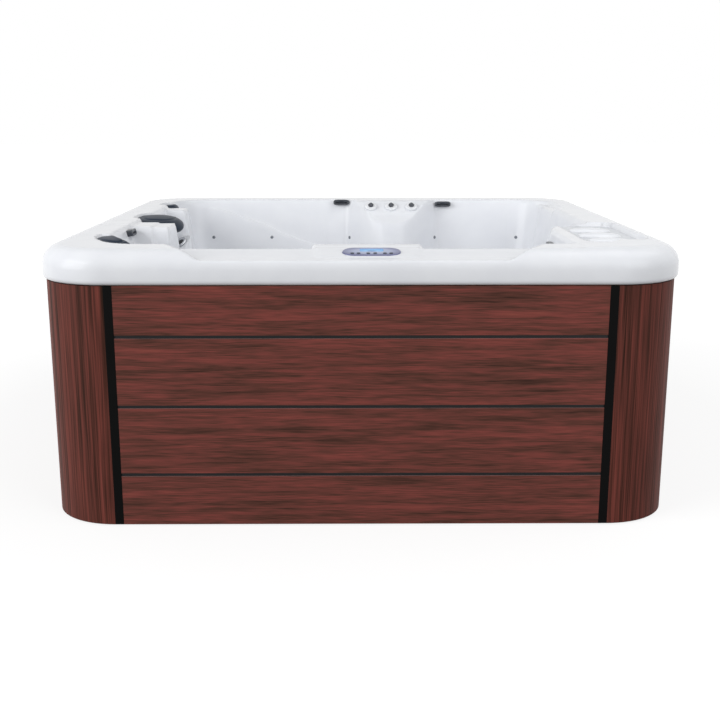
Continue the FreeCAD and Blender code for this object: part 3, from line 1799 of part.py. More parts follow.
def save_shell_and_skirt():
    """The shell, the boards and the corners."""
    save("acrylic_shell", acrylic_shell())
    save("front_boards", boards(0, fit_gap))
    save("front_joint_strips", joint_strips(0, fit_gap))
    other_boards = []
    other_strips = []
    for index in range(1, 4):
        other_boards += boards(index, 0)
        other_strips += joint_strips(index, 0)
    save("side_and_back_boards", other_boards)
    save("side_and_back_joint_strips", other_strips)
    save("corner_panels", corner_panels())
    save("corner_trims", corner_trims())


def save_frame():
    """The base and the timbers."""
    save("base_pan", base_pan())
    save("frame_bottom_rails", rail_ring(pan_thickness))
    save("frame_top_rails", rail_ring(rail_top() - timber))
    save("frame_uprights", frame_uprights())
    save("footwell_cradle", footwell_cradle())


def save_rim_pieces():
    """Pillows, spouts, lights, control panel and valves."""
    save("pillow_front_left", corner_pillow())
    save("pillow_left", straight_pillow(pillow_share, pillow_length, pillow_nose, pillow_top_gap))
    save("pillow_back_left", straight_pillow(
        back_pillow_share, back_pillow_length, back_pillow_nose, back_pillow_top_gap))
    save("water_spouts", [placed(spout(), *place) for place in spout_places()])
    save("light_points", [placed(light_point(), *place) for place in light_point_places()])
    save("footwell_light", placed(footwell_light(), *lamp_place()))
    save("control_panel_housing", control_panel_housing())
    save("control_panel_window", control_panel_window())
    for index, x in enumerate(key_offsets):
        save("panel_key_" + str(index + 1), panel_key(x))
    for name, cap_name, place in zip(valve_names, cap_names, valve_places()):
        save(name, placed(valve_knob(), *place))
        save(cap_name, placed(knob_cap(), *place))


def save_water():
    """Jets, mains, filter, fittings, pumps and pipes."""
    mains = filled_main(jet_main_height, main_radius) + filled_main(air_height(), air_main_radius)
    save("water_main", main_path(jet_main_height, main_radius))
    save("air_main", main_path(air_height(), air_main_radius))
    for index, place in enumerate(jet_places()):
        save("jet_face_" + str(index + 1), placed(jet_face(), *place))
    save("jet_bodies", jet_bodies(mains))
    save("valve_bodies", valve_bodies(mains))
    save("filter_lid", filter_lid())
    save("filter_tank", filter_tank())
    save("filter_cartridge", filter_cartridge())
    save("skimmer_throat", skimmer_throat())
    save("weir_flap", weir_flap())
    save("suction_covers", suction_covers())
    save("footwell_fittings", footwell_fittings())
    save("massage_pump_motor", massage_pump_motor())
    save("massage_pump_wet_end", massage_pump_wet_end())
    save("massage_pump_impeller", massage_pump_impeller())
    save("circulation_pump", circulation_pump())
    save("heater", heater())
    save("control_box", control_box())
    save("pipes", pipes(mains))
    save("drain_valve", drain_valve())
    save("drain_handle", drain_handle())


os.makedirs("parts", exist_ok=True)
save_frame()
save_rim_pieces()
save_water()
save_shell_and_skirt()
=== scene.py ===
import json
import math

import bmesh
import bpy
import numpy as np
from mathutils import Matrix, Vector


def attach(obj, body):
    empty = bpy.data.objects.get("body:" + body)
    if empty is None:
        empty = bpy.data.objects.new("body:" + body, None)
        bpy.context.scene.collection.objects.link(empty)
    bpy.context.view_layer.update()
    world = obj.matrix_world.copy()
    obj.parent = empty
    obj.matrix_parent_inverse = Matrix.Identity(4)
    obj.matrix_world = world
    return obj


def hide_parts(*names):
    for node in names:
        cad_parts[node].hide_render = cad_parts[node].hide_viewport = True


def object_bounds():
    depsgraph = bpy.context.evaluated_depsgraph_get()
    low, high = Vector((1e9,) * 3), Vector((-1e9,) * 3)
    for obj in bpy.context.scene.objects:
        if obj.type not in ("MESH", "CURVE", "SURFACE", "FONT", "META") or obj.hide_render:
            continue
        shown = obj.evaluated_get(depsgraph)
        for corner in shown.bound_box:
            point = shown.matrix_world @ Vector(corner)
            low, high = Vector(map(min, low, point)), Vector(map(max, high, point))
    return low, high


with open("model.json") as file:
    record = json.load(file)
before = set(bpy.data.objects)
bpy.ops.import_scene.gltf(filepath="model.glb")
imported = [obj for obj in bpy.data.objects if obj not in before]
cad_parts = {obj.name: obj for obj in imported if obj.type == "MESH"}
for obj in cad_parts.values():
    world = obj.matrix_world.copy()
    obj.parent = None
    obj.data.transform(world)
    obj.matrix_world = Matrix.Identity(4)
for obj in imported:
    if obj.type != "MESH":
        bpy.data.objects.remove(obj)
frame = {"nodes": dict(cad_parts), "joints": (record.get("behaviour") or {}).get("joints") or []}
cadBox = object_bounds()
nodes = frame["nodes"]
joints = {joint["name"]: joint for joint in frame["joints"]}
print("frame loaded with", len(nodes), "nodes")


# small helpers for heights, grids and meshes

# points nearer to each other than this, in metres, are one point
weldDistance = 1e-6


def softMin(a, b, reach):
    # the lesser of two heights, eased over the reach where they cross
    ease = np.maximum(reach - np.abs(a - b), 0) / reach
    return np.minimum(a, b) - ease * ease * reach / 4


def softMax(a, b, reach):
    return -softMin(-a, -b, reach)


def easeStep(value, start, end):
    # 0 before start, 1 after end, an S curve between them
    t = np.clip((value - start) / (end - start), 0, 1)
    return t * t * (3 - 2 * t)


def roundedBox(x, y, spanX, spanY, radius):
    # signed distance to a rectangle with round corners, negative inside
    outX = np.abs(x - (spanX[0] + spanX[1]) / 2) - (spanX[1] - spanX[0]) / 2 + radius
    outY = np.abs(y - (spanY[0] + spanY[1]) / 2) - (spanY[1] - spanY[0]) / 2 + radius
    outside = np.hypot(np.maximum(outX, 0), np.maximum(outY, 0))
    return outside + np.minimum(np.maximum(outX, outY), 0) - radius


def gridLines(stops):
    # each stop is a place and the spacing of the lines from there to the next stop
    lines = []
    for (start, step), (end, _) in zip(stops, stops[1:]):
        count = max(1, round((end - start) / step))
        lines.append(np.linspace(start, end, count, endpoint=False))
    return np.concatenate(lines + [[stops[-1][0]]])


def gridFaces(rows, columns, wrapColumns=False):
    # quads between neighbouring points of a rows by columns grid
    index = np.arange(rows * columns).reshape(rows, columns)
    if wrapColumns:
        index = np.hstack([index, index[:, :1]])
    quads = [index[:-1, :-1], index[1:, :-1], index[1:, 1:], index[:-1, 1:]]
    return np.stack(quads, axis=-1).reshape(-1, 4)


def bentGrid(linesX, linesY, flat, bend):
    # a square grid about the origin whose corners, beyond the flat half sizes, are bent round to a radius
    x, y = np.meshgrid(linesX, linesY, indexing="ij")
    a = np.maximum(np.abs(x) - flat[0], 0) / bend
    b = np.maximum(np.abs(y) - flat[1], 0) / bend
    corner = (a > 0) & (b > 0)
    bentX = np.where(corner, np.sign(x) * (flat[0] + bend * a * np.sqrt(1 - b * b / 2)), x)
    bentY = np.where(corner, np.sign(y) * (flat[1] + bend * b * np.sqrt(1 - a * a / 2)), y)
    return bentX, bentY


def rimLoop(shape):
    # the indices round the edge of a grid, once about
    index = np.arange(shape[0] * shape[1]).reshape(shape)
    return np.concatenate([index[:-1, 0], index[-1, :-1], index[:0:-1, -1], index[0, :0:-1]])


def edgeRows(edge, flat, out, height):
    # rows of points round the edge of a bent grid, each row set out from the edge and at its own height
    normal = edge[:, :2] - np.clip(edge[:, :2], [-flat[0], -flat[1]], flat)
    normal = normal / np.linalg.norm(normal, axis=1, keepdims=True)
    rows = np.empty((len(out), len(edge), 3))
    rows[:, :, :2] = edge[None, :, :2] + out[:, None, None] * normal[None]
    rows[:, :, 2] = height[:, None]
    return rows


def carryOn(loop, rows, first):
    # quads that carry the loop on through more rows of points, numbered from first
    ring = np.vstack([loop, first + np.arange(rows * len(loop)).reshape(rows, -1)])
    ring = np.hstack([ring, ring[:, :1]])
    return np.stack([ring[:-1, :-1], ring[1:, :-1], ring[1:, 1:], ring[:-1, 1:]], axis=-1).reshape(-1, 4)


def turnedPoints(base, axis, radius, height, turn):
    # a profile of radii and heights turned about an axis through the base
    side = np.cross(axis, (0, 0, 1.0))
    side = side / np.linalg.norm(side)
    other = np.cross(axis, side)
    ring = np.cos(turn)[:, None] * side + np.sin(turn)[:, None] * other
    return base + radius[..., None] * ring[None] + height[:, None, None] * axis


def faceCentres(mesh):
    centres = np.empty(len(mesh.polygons) * 3)
    mesh.polygons.foreach_get("center", centres)
    return centres.reshape(-1, 3)


def addPiece(name, points, faces, finish, body="tub", standsFor=(), closed=False):
    mesh = bpy.data.meshes.new(name)
    mesh.from_pydata(np.asarray(points).reshape(-1, 3).tolist(), [], np.asarray(faces).tolist())
    work = bmesh.new()
    work.from_mesh(mesh)
    bmesh.ops.remove_doubles(work, verts=work.verts, dist=weldDistance)
    bmesh.ops.dissolve_degenerate(work, dist=weldDistance, edges=work.edges)
    if closed:
        bmesh.ops.recalc_face_normals(work, faces=work.faces)
    work.to_mesh(mesh)
    work.free()
    mesh.polygons.foreach_set("use_smooth", np.ones(len(mesh.polygons), bool))
    mesh.materials.append(finish)
    piece = bpy.data.objects.new(name, mesh)
    bpy.context.scene.collection.objects.link(piece)
    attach(piece, body)
    if standsFor:
        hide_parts(*standsFor)
    return piece


def paintFaces(piece, finish, chosen):
    # gives the chosen faces a second finish
    piece.data.materials.append(finish)
    piece.data.polygons.foreach_set("material_index", chosen.astype(np.int32))


# finishes

def hexColor(code):
    # an sRGB hex value as linear colour
    channels = [int(code[i:i + 2], 16) / 255 for i in (1, 3, 5)]
    return [c / 12.92 if c <= 0.04045 else ((c + 0.055) / 1.055) ** 2.4 for c in channels] + [1.0]


def addNode(tree, kind, inputs=None, **settings):
    node = tree.nodes.new(kind)
    for name, value in settings.items():
        setattr(node, name, value)
    for key, value in (inputs or {}).items():
        if isinstance(value, bpy.types.NodeSocket):
            tree.links.new(value, node.inputs[key])
        else:
            node.inputs[key].default_value = value
    return node


def reckon(tree, operation, first, second=0.0):
    # one step of arithmetic in a material
    return addNode(tree, "ShaderNodeMath", {0: first, 1: second}, operation=operation).outputs[0]


def newFinish(name, **sockets):
    # a fresh Principled material, its constant sockets set, and the Object coordinates to draw on
    finish = bpy.data.materials.new(name)
    finish.use_nodes = True
    tree = finish.node_tree
    shader = tree.nodes["Principled BSDF"]
    for key, value in sockets.items():
        shader.inputs[key].default_value = value
    place = addNode(tree, "ShaderNodeTexCoord").outputs["Object"]
    return finish, tree, shader, place


def fillRamp(ramp, stops):
    # the colour ramp's stops, as (place, hex)
    elements = ramp.color_ramp.elements
    while len(elements) < len(stops):
        elements.new(0.5)
    for element, (place, code) in zip(elements, stops):
        element.position = place
        element.color = hexColor(code)


moulding = {"driftPerMetre": 9.0, "driftStops": (0.25, 0.75), "glossSpread": 0.15}


def mouldedFinish(name, shade, tint, roughness, spotMm, relief=0.05, **sockets):
    # moulded plastic: one colour that drifts a little, a fine even grain, a soft gloss
    finish, tree, shader, place = newFinish(name, **sockets)
    spots = addNode(tree, "ShaderNodeTexNoise", {"Vector": place, "Scale": 1000 / spotMm, "Detail": 3.0})
    drift = addNode(tree, "ShaderNodeTexNoise", {
        "Vector": place, "Scale": moulding["driftPerMetre"], "Detail": 2.0})
    ramp = addNode(tree, "ShaderNodeValToRGB", {"Fac": drift.outputs["Fac"]})
    fillRamp(ramp, list(zip(moulding["driftStops"], (shade, tint))))
    gloss = addNode(tree, "ShaderNodeMapRange", {
        "Value": spots.outputs["Fac"], "To Min": roughness * (1 - moulding["glossSpread"]),
        "To Max": roughness * (1 + moulding["glossSpread"])})
    bump = addNode(tree, "ShaderNodeBump", {
        "Height": spots.outputs["Fac"], "Strength": relief, "Distance": spotMm / 1000})
    tree.links.new(ramp.outputs["Color"], shader.inputs["Base Color"])
    tree.links.new(gloss.outputs["Result"], shader.inputs["Roughness"])
    tree.links.new(bump.outputs["Normal"], shader.inputs["Normal"])
    return finish


boardLook = {
    "stops": [(0.34, "#33201a"), (0.43, "#51322a"), (0.50, "#663a33"), (0.58, "#7b403a"),
              (0.69, "#87493f")],
    "streakMm": 18.0, "streakLengthMm": 300.0, "bandMm": 46.0, "bandLengthMm": 900.0,
    "fineMm": 3.8, "fineLengthMm": 85.0, "bandShare": 0.38, "fineShare": 0.30, "octaveShare": 0.62,
    "wanderMm": 8.0, "wanderPerMetre": 2.2, "boardShift": 3.7,
    "ior": 1.48, "specular": 0.1, "roughness": 0.55, "duller": 0.12, "glossier": 0.10,
    "relief": 0.35, "reliefMm": 1.2,
    # edge is the colour of a painted highlight along each board's upper edge, edgeMm its width
    "edge": "#8d8284", "edgeMm": 2.2, "edgeHighlightShare": 0.75, "firstJoint": 0.176, "pitch": 0.229, "gapMm": 4.0,
}


def woodFinish(name, look, upright):
    # wood-grained composite board: dark and red streaks, broad bands and fine lines along the grain
    finish, tree, shader, place = newFinish(name, **{
        "IOR": look["ior"], "Specular IOR Level": look["specular"]})
    part = addNode(tree, "ShaderNodeSeparateXYZ", {"Vector": place})
    x, y, z = (part.outputs[axis] for axis in "XYZ")
    row = reckon(tree, "DIVIDE", reckon(tree, "SUBTRACT", z, look["firstJoint"]), look["pitch"])
    if upright:
        # across runs one way round each of the four corners
        side = reckon(tree, "MULTIPLY", reckon(tree, "SIGN", reckon(tree, "MULTIPLY", x, y)), y)
        grain = z
        across = reckon(tree, "SUBTRACT", x, side)
        index = reckon(tree, "ADD", x, side)
    else:
        # each board takes its own stretch of the grain
        index = reckon(tree, "FLOOR", row)
        shift = reckon(tree, "MULTIPLY", index, look["boardShift"])
        grain = reckon(tree, "ADD", reckon(tree, "ADD", x, y), shift)
        across = z
    slow = reckon(tree, "MULTIPLY", grain, look["wanderPerMetre"])
    wander = addNode(tree, "ShaderNodeTexNoise", {"W": slow, "Scale": 1.0, "Detail": 2.0},
                     noise_dimensions="1D")
    bend = reckon(tree, "MULTIPLY", wander.outputs["Fac"], look["wanderMm"] / 1000)
    across = reckon(tree, "ADD", across, bend)
    layers = []
    for layer, detail in (("streak", 3.0), ("band", 2.0), ("fine", 1.0)):
        u = reckon(tree, "DIVIDE", grain, look[layer + "LengthMm"] / 1000)
        v = reckon(tree, "DIVIDE", across, look[layer + "Mm"] / 1000)
        spot = addNode(tree, "ShaderNodeCombineXYZ", {"X": u, "Y": v, "Z": index})
        noise = addNode(tree, "ShaderNodeTexNoise", {
            "Vector": spot.outputs[0], "Scale": 1.0, "Detail": detail, "Roughness": look["octaveShare"]})
        layers.append(noise.outputs["Fac"])
    blend = addNode(tree, "ShaderNodeMix", {"Factor": look["bandShare"], 2: layers[0], 3: layers[1]})
    blend = addNode(tree, "ShaderNodeMix", {"Factor": look["fineShare"], 2: blend.outputs[0], 3: layers[2]})
    ramp = addNode(tree, "ShaderNodeValToRGB", {"Fac": blend.outputs[0]})
    fillRamp(ramp, look["stops"])
    color = ramp.outputs["Color"]
    if look["edge"]:
        # painted highlight: the boards' upper edges are painted pale, just under each joint
        under = reckon(tree, "SUBTRACT", 1.0, reckon(tree, "FRACT", row))
        edgeHighlight = addNode(tree, "ShaderNodeMapRange", {
            "Value": under, "From Min": (look["gapMm"] + look["edgeMm"]) / 1000 / look["pitch"],
            "From Max": look["gapMm"] / 1000 / look["pitch"], "To Min": 0.0, "To Max": look["edgeHighlightShare"]})
        mix = addNode(tree, "ShaderNodeMix", {
            "Factor": edgeHighlight.outputs["Result"], 6: color, 7: hexColor(look["edge"])}, data_type="RGBA")
        color = mix.outputs[2]
    gloss = addNode(tree, "ShaderNodeMapRange", {
        "Value": layers[0], "To Min": look["roughness"] + look["duller"],
        "To Max": look["roughness"] - look["glossier"]})
    bump = addNode(tree, "ShaderNodeBump", {
        "Height": blend.outputs[0], "Strength": look["relief"], "Distance": look["reliefMm"] / 1000})
    tree.links.new(color, shader.inputs["Base Color"])
    tree.links.new(gloss.outputs["Result"], shader.inputs["Roughness"])
    tree.links.new(bump.outputs["Normal"], shader.inputs["Normal"])
    return finish


def panelFinish(name, centre, reach, stops, roughness, **sockets):
    # lacquered or printed plate: colour set by the share of the way from its centre to its outline
    finish, tree, shader, place = newFinish(name, **{"Roughness": roughness, **sockets})
    shift = addNode(tree, "ShaderNodeVectorMath", {0: place, 1: (*centre, 0.0)}, operation="SUBTRACT")
    share = addNode(tree, "ShaderNodeVectorMath", {
        0: shift.outputs[0], 1: (1 / reach[0], 1 / reach[1], 0.0)}, operation="MULTIPLY")
    length = addNode(tree, "ShaderNodeVectorMath", {0: share.outputs[0]}, operation="LENGTH")
    ramp = addNode(tree, "ShaderNodeValToRGB", {"Fac": length.outputs["Value"]})
    fillRamp(ramp, stops)
    tree.links.new(ramp.outputs["Color"], shader.inputs["Base Color"])
    return finish


# cast acrylic, vacuum formed: cool white, a wet gloss and a very slight orange peel
acrylicWhite = mouldedFinish("castAcrylic", "#e2e4e9", "#e8eaee", 0.18, 9.0, 0.012,
                             **{"IOR": 1.49, "Specular IOR Level": 0.17})
# pale ABS, its plate a shade greyer: painted shade between the ribs, so that its white ribs stand clear
lidPlateShade = mouldedFinish("paleAbsPaintedShade", "#c6cad1", "#cdd1d7", 0.25, 4.0, 0.012)
# printed composite: red-brown boards with dark patches and fine fibres, a dull satin face
boardWood = woodFinish("mahoganyComposite", boardLook, False)
# the same composite set upright: darker, with streaks that run nearly the whole height
cornerWood = woodFinish("mahoganyCompositeUpright", {
    **boardLook, "edge": None, "streakLengthMm": 1000.0, "streakMm": 14.0, "bandLengthMm": 1600.0,
    "fineLengthMm": 240.0, "wanderMm": 4.0,
    "stops": [(0.37, "#241209"), (0.44, "#3f2119"), (0.50, "#552d26"), (0.57, "#6c372f"),
              (0.66, "#783f37")]}, True)
# extruded ABS: near black with hardly a highlight
trimBlack = mouldedFinish("blackExtrudedAbs", "#030303", "#060606", 0.5, 1.2,
                          **{"Specular IOR Level": 0.06})
# extruded ABS in charcoal: a thin sheen lifts the joints off dead black
stripGrey = mouldedFinish("charcoalExtrudedAbs", "#151516", "#1a1a1b", 0.45, 1.2,
                          **{"Specular IOR Level": 0.2})
# foam with a skin: blue-grey, softly pebbled, a broad dull sheen
pillowSkin = mouldedFinish("slateFoamSkin", "#262e3b", "#303946", 0.40, 1.6, 0.08,
                           **{"IOR": 1.47, "Specular IOR Level": 0.06})
# moulded ABS: dark slate with a clear gloss along the edges
slateAbs = mouldedFinish("slateAbs", "#34383f", "#3b4048", 0.3, 0.9)
# smoked polycarbonate: mid grey, glassy and smooth
smokedLens = mouldedFinish("smokedPolycarbonate", "#70757d", "#7a8088", 0.15, 4.0, 0.01, **{"IOR": 1.58})
# lacquered ABS: silvery lavender, darker towards the rim
panelSilver = panelFinish("lavenderLacqueredAbs", (0.033, -0.936), (0.094, 0.041), [
    (0.0, "#b3bdd6"), (0.62, "#9aa3c0"), (0.86, "#777b9f"), (1.0, "#63668a")], 0.28, **{"Metallic": 0.25})
# display glass: clear blue, brightest in a ring about the middle, mirror smooth
panelBlue = panelFinish("blueDisplayGlass", (0.033, -0.936), (0.044, 0.018), [
    (0.0, "#2f6fb0"), (0.30, "#3c83c6"), (0.45, "#79bdf0"), (1.0, "#4f9de2")], 0.08, **{"IOR": 1.5})
# silicone rubber: flat dark grey keys
keyRubber = mouldedFinish("greyKeyRubber", "#343a46", "#3d4350", 0.5, 0.8)
# polished ABS: white knobs as glossy as the shell
knobWhite = mouldedFinish("whiteGlossAbs", "#e2e4e8", "#eaecef", 0.18, 3.0, 0.01)
# satin ABS: dark grey caps with a small highlight
capGrey = mouldedFinish("darkGreyAbs", "#3f4249", "#4a4d55", 0.28, 1.0)
# plumbing PVC: a warmer, flatter white than the shell
fittingWhite = mouldedFinish("whitePlumbingPvc", "#d6d6d3", "#dededb", 0.36, 2.0)
# pleated polyester: off-white cloth with a fine nap and no gloss
pleatCloth = mouldedFinish("pleatedPolyester", "#d4dade", "#e0e4e7", 0.8, 0.6, 0.3)
# stoved enamel: blue-black with a slight orange peel
motorEnamel = mouldedFinish("darkMotorEnamel", "#20252c", "#282d35", 0.33, 1.4, 0.12)
# glass-filled nylon: black, dull and a little gritty
pumpBlack = mouldedFinish("glassFilledNylon", "#26282a", "#2f3133", 0.5, 0.9, 0.12)
# textured ABS: plain mid grey box
boxGrey = mouldedFinish("greyEnclosureAbs", "#7d8186", "#868a90", 0.45, 1.1, 0.08)
# nylon: signal red, softly glossy
leverRed = mouldedFinish("redNylon", "#9c1f1a", "#a82a22", 0.36, 1.5)
# moulded ABS: a black middle, painted shade that makes the jet read as a hole
nozzleHoleShade = mouldedFinish("nozzleHolePaintedShade", "#15171a", "#1d2024", 0.3, 1.0)
# brushed stainless steel: bright rings that mirror the room softly
jetSteel = mouldedFinish("brushedStainless", "#b4b6ba", "#c4c6ca", 0.24, 1.0, 0.03, **{"Metallic": 1.0})
# drawn stainless tube: a little greyer and duller than the jets
heaterSteel = mouldedFinish("stainlessTube", "#a8aaae", "#b8babe", 0.28, 1.3, 0.03, **{"Metallic": 1.0})
# planed spruce: pale straw with close darker lines
frameTimber = woodFinish("planedSpruce", {
    **boardLook, "edge": None, "streakMm": 4.0, "roughness": 0.62,
    "stops": [(0.36, "#9a7346"), (0.45, "#b98f5e"), (0.52, "#c8a06e"), (0.64, "#d8b688")]}, False)
print("finishes made:", len(bpy.data.materials))


# acrylic shell: one height surface over the plan, with the lip carried round its edge

shell = {
    "rim": cadBox[1].z, "half": cadBox[1].x, "roll": 0.065, "lipCorner": 0.240, "rollSteps": 14,
    "footHeight": 0.799, "curl": 0.016, "curlSteps": 5, "footWidth": 0.022, "footRise": 0.026,
    "basinHalf": 0.870, "basinCorner": 0.150, "wallSlope": 6.0, "rimEase": 0.075,
    "seat": 0.430, "seatEase": 0.20,
    "wellX": (-0.432, 0.432), "wellY": (-0.512, 0.463), "wellCorner": 0.162,
    "wellFloor": 0.110, "wellSlope": 20.0, "wellEase": 0.07,
}
# place and spacing of the grid's lines, closer where the form is finer, and the spacing at the first edge
shellGrid = {
    "edgeX": 0.0095, "edgeY": 0.006,
    "x": [(-0.93, 0.0052), (-0.70, 0.0085), (-0.60, 0.012), (-0.44, 0.004), (-0.39, 0.012), (-0.20, 0.0085),
          (0.39, 0.004), (0.44, 0.012), (0.60, 0.0085), (0.70, 0.0062), (0.93, 0.0095)],
    "y": [(-0.93, 0.006), (-0.70, 0.011), (-0.53, 0.0045), (-0.46, 0.012), (-0.30, 0.009), (-0.09, 0.012),
          (0.24, 0.009), (0.41, 0.006), (0.57, 0.009), (0.64, 0.0045), (0.70, 0.0034), (0.80, 0.002),
          (0.825, 0.0012), (0.875, 0.0055), (0.93, 0.0095)],
}
# lowest and highest corners of what is cut out for the skimmer's mouth and for the filter
windows = [
    ((0.680, -0.680, 0.712), (0.760, -0.530, 0.802)),
    ((0.782, -0.700, 0.800), (0.945, -0.250, 1.000)),
]
console = {
    "backEdge": -0.890, "backHeight": 0.8925, "slope": 0.135, "until": -0.700, "clear": 1.0,
    "front": -0.985, "flatter": 0.075, "ease": 0.007,
    "middle": -0.021, "halfWidth": 0.515, "spread": 0.67, "crease": -1.037,
    "step": 0.034, "rise": 0.05, "beyond": 2.0,
}
# top height, plan span and how steeply each side falls away
seatForms = [
    {"top": 0.470, "x": (-1.0, -0.440), "y": (-0.157, 0.367), "fallX": 2.5, "fallY": 1.2, "ease": 0.03},
    {"top": 0.450, "x": (0.440, 1.0), "y": (-0.150, 0.294), "fallX": 2.5, "fallY": 1.2, "ease": 0.03},
    {"top": 0.520, "x": (-0.250, 0.450), "y": (-1.0, -0.520), "fallX": 4.0, "fallY": 6.0, "ease": 0.05},
]
ridgeBlend = 0.02
ridgeForms = [
    {"top": 0.898, "x": (-1.2, -0.727), "y": (-0.280, -0.110), "fallX": 10.0, "fallY": 9.0, "ease": 0.04},
    {"top": 0.896, "x": (-1.2, -0.790), "y": (-0.285, -0.110), "fallX": 7.0, "fallY": 3.0, "ease": 0.03},
    {"top": 0.898, "x": (-1.2, -0.780), "y": (0.462, 0.560), "fallX": 7.0, "fallY": 9.0, "ease": 0.05},
]
filterDeck = {
    "top": 0.904, "x": (0.705, 1.6), "y": (-1.6, -0.1995), "corner": 0.20, "fall": 9.0, "ease": 0.10,
    "blend": 0.02,
}
armrests = {
    "left": {"x": (-1.2, -0.600), "y": (0.324, 0.474)},
    "right": {"x": (0.600, 1.2), "y": (0.255, 0.405)},
    "front": 0.710, "slope": 0.20, "fallX": 4.0, "fallY": 5.0, "ease": 0.09, "blend": 0.03,
    "wall": 0.800, "inner": 0.600, "drop": 0.085,
}
# the line that sweeps down the back wall on the left, in x and z; the wall is set back above it
sweep = {
    "x": (-0.760, -0.697, -0.625, -0.552, -0.469, -0.382, -0.211, -0.05),
    "z": (0.900, 0.876, 0.852, 0.823, 0.799, 0.756, 0.694, 0.640),
    "back": 0.011, "round": 0.030, "inner": 0.024, "leastEase": 1e-4,
    "fadeIn": (-0.76, -0.66), "fadeOut": (-0.16, -0.05),
}
valveBay = {
    "middle": 0.160, "end": 0.205, "out": 0.165, "endEase": 0.04, "through": (0.7852, 0.8776), "from": 0.55,
    "slope": math.tan(math.radians(35)), "ease": 0.012, "side": 0.19, "sideSlope": 6.0, "clear": 2.0,
    "plate": {"x": (0.004, 0.316), "y": (0.744, 0.850), "corner": 0.05, "rise": 0.005, "edge": 0.004},
}
shelf = {
    "x": (-0.160, 0.200), "front": -0.810, "taper": 0.12, "top": 0.899, "topEase": 0.006,
    "raise": 0.0012, "raised": (-1.01, -0.97), "fall": 7.0, "side": 2.2, "nearFall": 4.0,
    "ease": 0.012, "blend": 0.008,
}
# floors sunk for two pillows, the filter lid and the ledge at the right
pockets = [
    {"floor": 0.880, "x": (-0.914, -0.600), "y": (-0.066, 0.218), "fall": 8.0, "ease": 0.012, "corner": 0.11},
    {"floor": 0.880, "x": (-0.912, -0.600), "y": (0.573, 0.717), "fall": 8.0, "ease": 0.012, "corner": 0.06},
    {"floor": 0.885, "x": (0.762, 0.965), "y": (-0.782, -0.232), "fall": 12.0, "ease": 0.008,
     "corner": 0.055},
    {"floor": 0.893, "x": (0.600, 0.905), "y": (0.440, 0.790), "fall": 1.2, "ease": 0.02, "corner": 0.06},
]
# the pocket of the corner pillow: a ring sector, from and to in degrees about its centre
cornerPocket = {
    "centre": (-0.620, -0.620), "outer": 0.290, "from": 178.0, "to": 240.0, "floor": 0.880, "fall": 8.0,
    "ease": 0.008,
}
jetPod = {
    "place": (-0.79658, 0.399, 0.7575), "lean": 0.57, "fallForward": 0.52, "radius": 0.046, "fall": 9.0,
    "ease": 0.02, "cutEase": 0.01,
}


def block(x, y, form):
    # the least of a plateau and the planes that fall away from its sides
    awayX = np.maximum(form["x"][0] - x, x - form["x"][1])
    awayY = np.maximum(form["y"][0] - y, y - form["y"][1])
    sides = softMin(form["top"] - form["fallX"] * awayX, form["top"] - form["fallY"] * awayY, form["ease"])
    return softMin(form["top"], sides, form["ease"])


def hollow(x, y, form):
    # a flat floor with round corners in plan, whose sides climb outside its span
    away = roundedBox(x, y, form["x"], form["y"], form["corner"])
    return form["floor"] + form["fall"] * np.maximum(away, 0)


def consoleHeight(x, y):
    # the sunk front: a plane that falls gently forwards, lifted back to the rim at its ends
    plane = console["backHeight"] + console["slope"] * (y - console["backEdge"])
    plane = plane + console["flatter"] * np.maximum(console["front"] - y, 0)
    return plane + consoleRise(x, y) + np.where(y > console["until"], console["clear"], 0.0)


def consoleRise(x, y):
    # up again past a line that runs outwards from the crease to the back edge
    end = console["halfWidth"] + console["spread"] * (y - console["crease"])
    away = np.abs(x - console["middle"]) - end
    step = console["rise"] * easeStep(away, -console["step"], console["step"])
    return step + console["beyond"] * np.maximum(away - console["step"], 0)


def rimHeight(x, y):
    return softMin(shell["rim"] + 0 * x, consoleHeight(x, y), console["ease"])


def bayReach(x):
    # how far the valve bay stands out of the back wall: a parabola over its width, eased into the wall
    share = (x - valveBay["middle"]) / valveBay["end"]
    return softMax(valveBay["out"] * (1 - share * share), 0 * share, valveBay["endEase"])


def backWall(x, y, wall):
    # the plain wall with the bay added, set back above the sweeping line, which leaves a rounded ledge
    wall = wall + shell["wallSlope"] * np.where(y > valveBay["from"], bayReach(x), 0)
    line = np.interp(x, sweep["x"], sweep["z"])
    faded = easeStep(x, *sweep["fadeIn"]) * (1 - easeStep(x, *sweep["fadeOut"])) * (y > valveBay["from"])
    sunk = wall - shell["wallSlope"] * sweep["back"] * faded
    ledge = np.where(faded > 0, softMin(wall, line, sweep["round"]), wall)
    return softMax(sunk, ledge, sweep["inner"] * faded + sweep["leastEase"])


def bayTop(x, y):
    # the valve bay's sloping top with the low plate on it, out of the way beside the bay and before it
    tilted = valveBay["through"][1] + valveBay["slope"] * (y - valveBay["through"][0])
    plate = valveBay["plate"]
    toPlate = roundedBox(x, y, plate["x"], plate["y"], plate["corner"])
    tilted = tilted + plate["rise"] * (1 - easeStep(toPlate, -plate["edge"], plate["edge"]))
    aside = np.maximum(np.abs(x - valveBay["middle"]) - valveBay["side"], 0)
    return np.where(y > valveBay["from"], tilted + valveBay["sideSlope"] * aside, valveBay["clear"])


